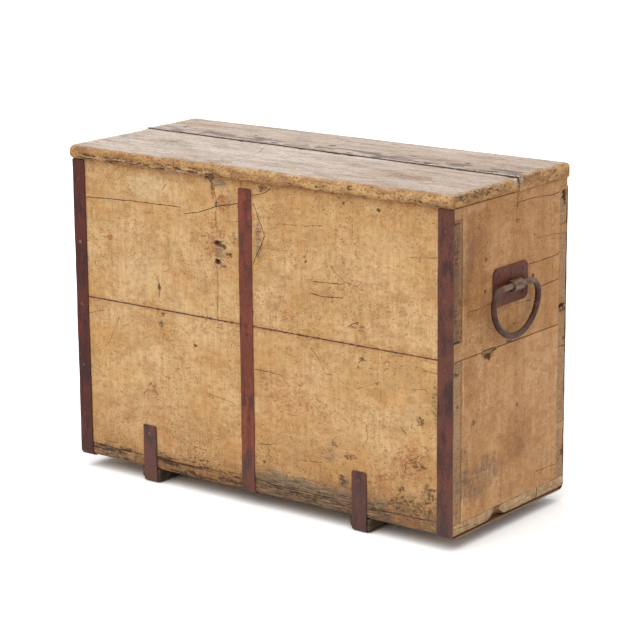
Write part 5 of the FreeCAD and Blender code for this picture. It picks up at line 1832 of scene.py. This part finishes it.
def batten(node, wood, seed, slant=0.0):
    """A batten sawn square, with its lower edges eased; the seam's one leans with it."""
    low, high = box_mm(node)
    middle = (low[0] + high[0]) / 2
    slope = slant * (SEAM_RIGHT - SEAM_LEFT) / (LID_HIGH[0] - LID_LOW[0])
    drop = np.array((0, -slope * (high[0] - low[0]) / 2, 0))
    low, high = low + drop, high - drop
    points, quads = block_skin(low, high, *[(4.0, 4.0, 1.0)] * 3)
    soften(points, low, high, 2, 2.4 + 1.2 * value_noise(points, 30, seed), 0.4)
    sink(points, quads, 0.5 * value_noise(points, (30, 30, 20), seed + 1))
    points[:, 1] += slope * (points[:, 0] - middle)
    make_piece(node, "_bar", (points, quads), wood, {}, "lid")


batten("lid_batten_left", batten_wood, 540)
batten("lid_batten_right", batten_wood, 550)
batten("lid_seam_batten", seam_wood, 560, slant=1.0)
lid_spots = [((*spot, LID_REAR[2] - LID_NAIL_RISE), (0, 0, 1)) for spot in nail_spots]
nails("lid_nails", lid_spots, "nail_iron", "lid", 570)

# %% Hinges
HINGE_Y, HINGE_Z = 159.5, 517.1
KNUCKLE, PIN = 5.0, 2.2
PIN_HALF = 21.0
KNUCKLE_INNER, KNUCKLE_OUTER, KNUCKLE_MIDDLE = 7.3, 20.98, 7.0
PIN_SEAT, PIN_PLAY = 0.02, 0.07
LEAF_FRONT, LEAF_BACK = HINGE_Y - 5.0, HINGE_Y - 2.5
LEAF_NAILS, STRAP_NAILS = (20.0, 62.0), (36.0, 56.0)


def mirrored(half, length):
    """A profile and its mirror image at the other end of a length."""
    return (*half, *((radius, length - place) for radius, place in half[::-1]))


def on_axis(profile, sides, start):
    """A profile turned about the hinge's axis, from a place across."""
    return placed(turned(profile, sides), (start, HINGE_Y, HINGE_Z), (1, 0, 0))


def sleeve(start, end, bore):
    """A bored barrel along x, with eased rims."""
    half = ((bore, 0.3), (bore + 0.3, 0.0), (KNUCKLE - 0.4, 0.0), (KNUCKLE, 0.4))
    return on_axis(mirrored(half, end - start), 28, start)


print("a knuckle is", 2 * KNUCKLE, "mm thick on a pin of", 2 * PIN, "mm")

# %% Put the hinges together
def hinge_part(kind, hand, shapes, body, seed):
    """Joins the forged parts of a leaf or a strap to one piece."""
    shape = joined(shapes)
    make_piece("hinge_%s_%s" % (kind, hand), "_forged", shape, irons["hinge_iron"],
               {"worn": 0.4 * value_noise(shape[0], 9, seed)}, body, 50)


def hinge(hand, across):
    """One hinge: the leaf on the back with two knuckles, the strap under the lid with one,
    and the pin through all three."""
    low, high = box_mm("hinge_back_leaf_" + hand)
    leaf = [block((low[0], LEAF_FRONT, low[2]), (high[0], LEAF_BACK, HINGE_Z - 5.6), 2.5, 1,
                  0.5, 0.3, 580)]
    for side in (-1, 1):
        start, end = sorted((across + side * KNUCKLE_INNER, across + side * KNUCKLE_OUTER))
        leaf.append(block((start, LEAF_FRONT, HINGE_Z - 6.2), (end, LEAF_BACK, HINGE_Z), 2.5,
                          1, 0.4, 0.2, 581))
        leaf.append(sleeve(start, end, PIN + PIN_SEAT))
    hinge_part("back_leaf", hand, leaf, "chest", 585)
    low, high = box_mm("hinge_strap_" + hand)
    under = BODY_TOP - IRON
    strap = [block((low[0], low[1], under), (high[0], HINGE_Y - 6.0, BODY_TOP), 2.5, 2, 0.5,
                   0.2, 590),
             block((across - 6.9, HINGE_Y - 6.6, under), (across + 6.9, HINGE_Y, BODY_TOP),
                   2.5, 2, 0.4, 0.15, 591),
             sleeve(across - KNUCKLE_MIDDLE, across + KNUCKLE_MIDDLE, PIN + PIN_PLAY)]
    hinge_part("strap", hand, strap, "lid", 595)
    half = ((0.0, 0.0), (PIN - 0.5, 0.1), (PIN, 0.6))
    pin = (*half, (PIN, PIN_HALF), *mirrored(half, 2 * PIN_HALF)[3:])
    shape = on_axis(pin, 20, across - PIN_HALF)
    make_piece("hinge_pin_" + hand, "_round", shape, irons["hinge_iron"],
               {"worn": np.ones(len(shape[0]))})


for hand, across in HINGES:
    hinge(hand, across)
leaf_spots = [((across, HALF_DEPTH + IRON, HINGE_Z - drop), (0, 1, 0))
              for _, across in HINGES for drop in LEAF_NAILS]
under_spots = [((across, HINGE_Y - forward, BODY_TOP - IRON), (0, 0, -1))
               for _, across in HINGES for forward in STRAP_NAILS]
nails("hinge_leaf_nails", leaf_spots, "nail_iron", "chest", 600)
nails("hinge_strap_nails", under_spots, "nail_iron", "lid", 620)
print("hinges at", [across for _, across in HINGES], "mm")
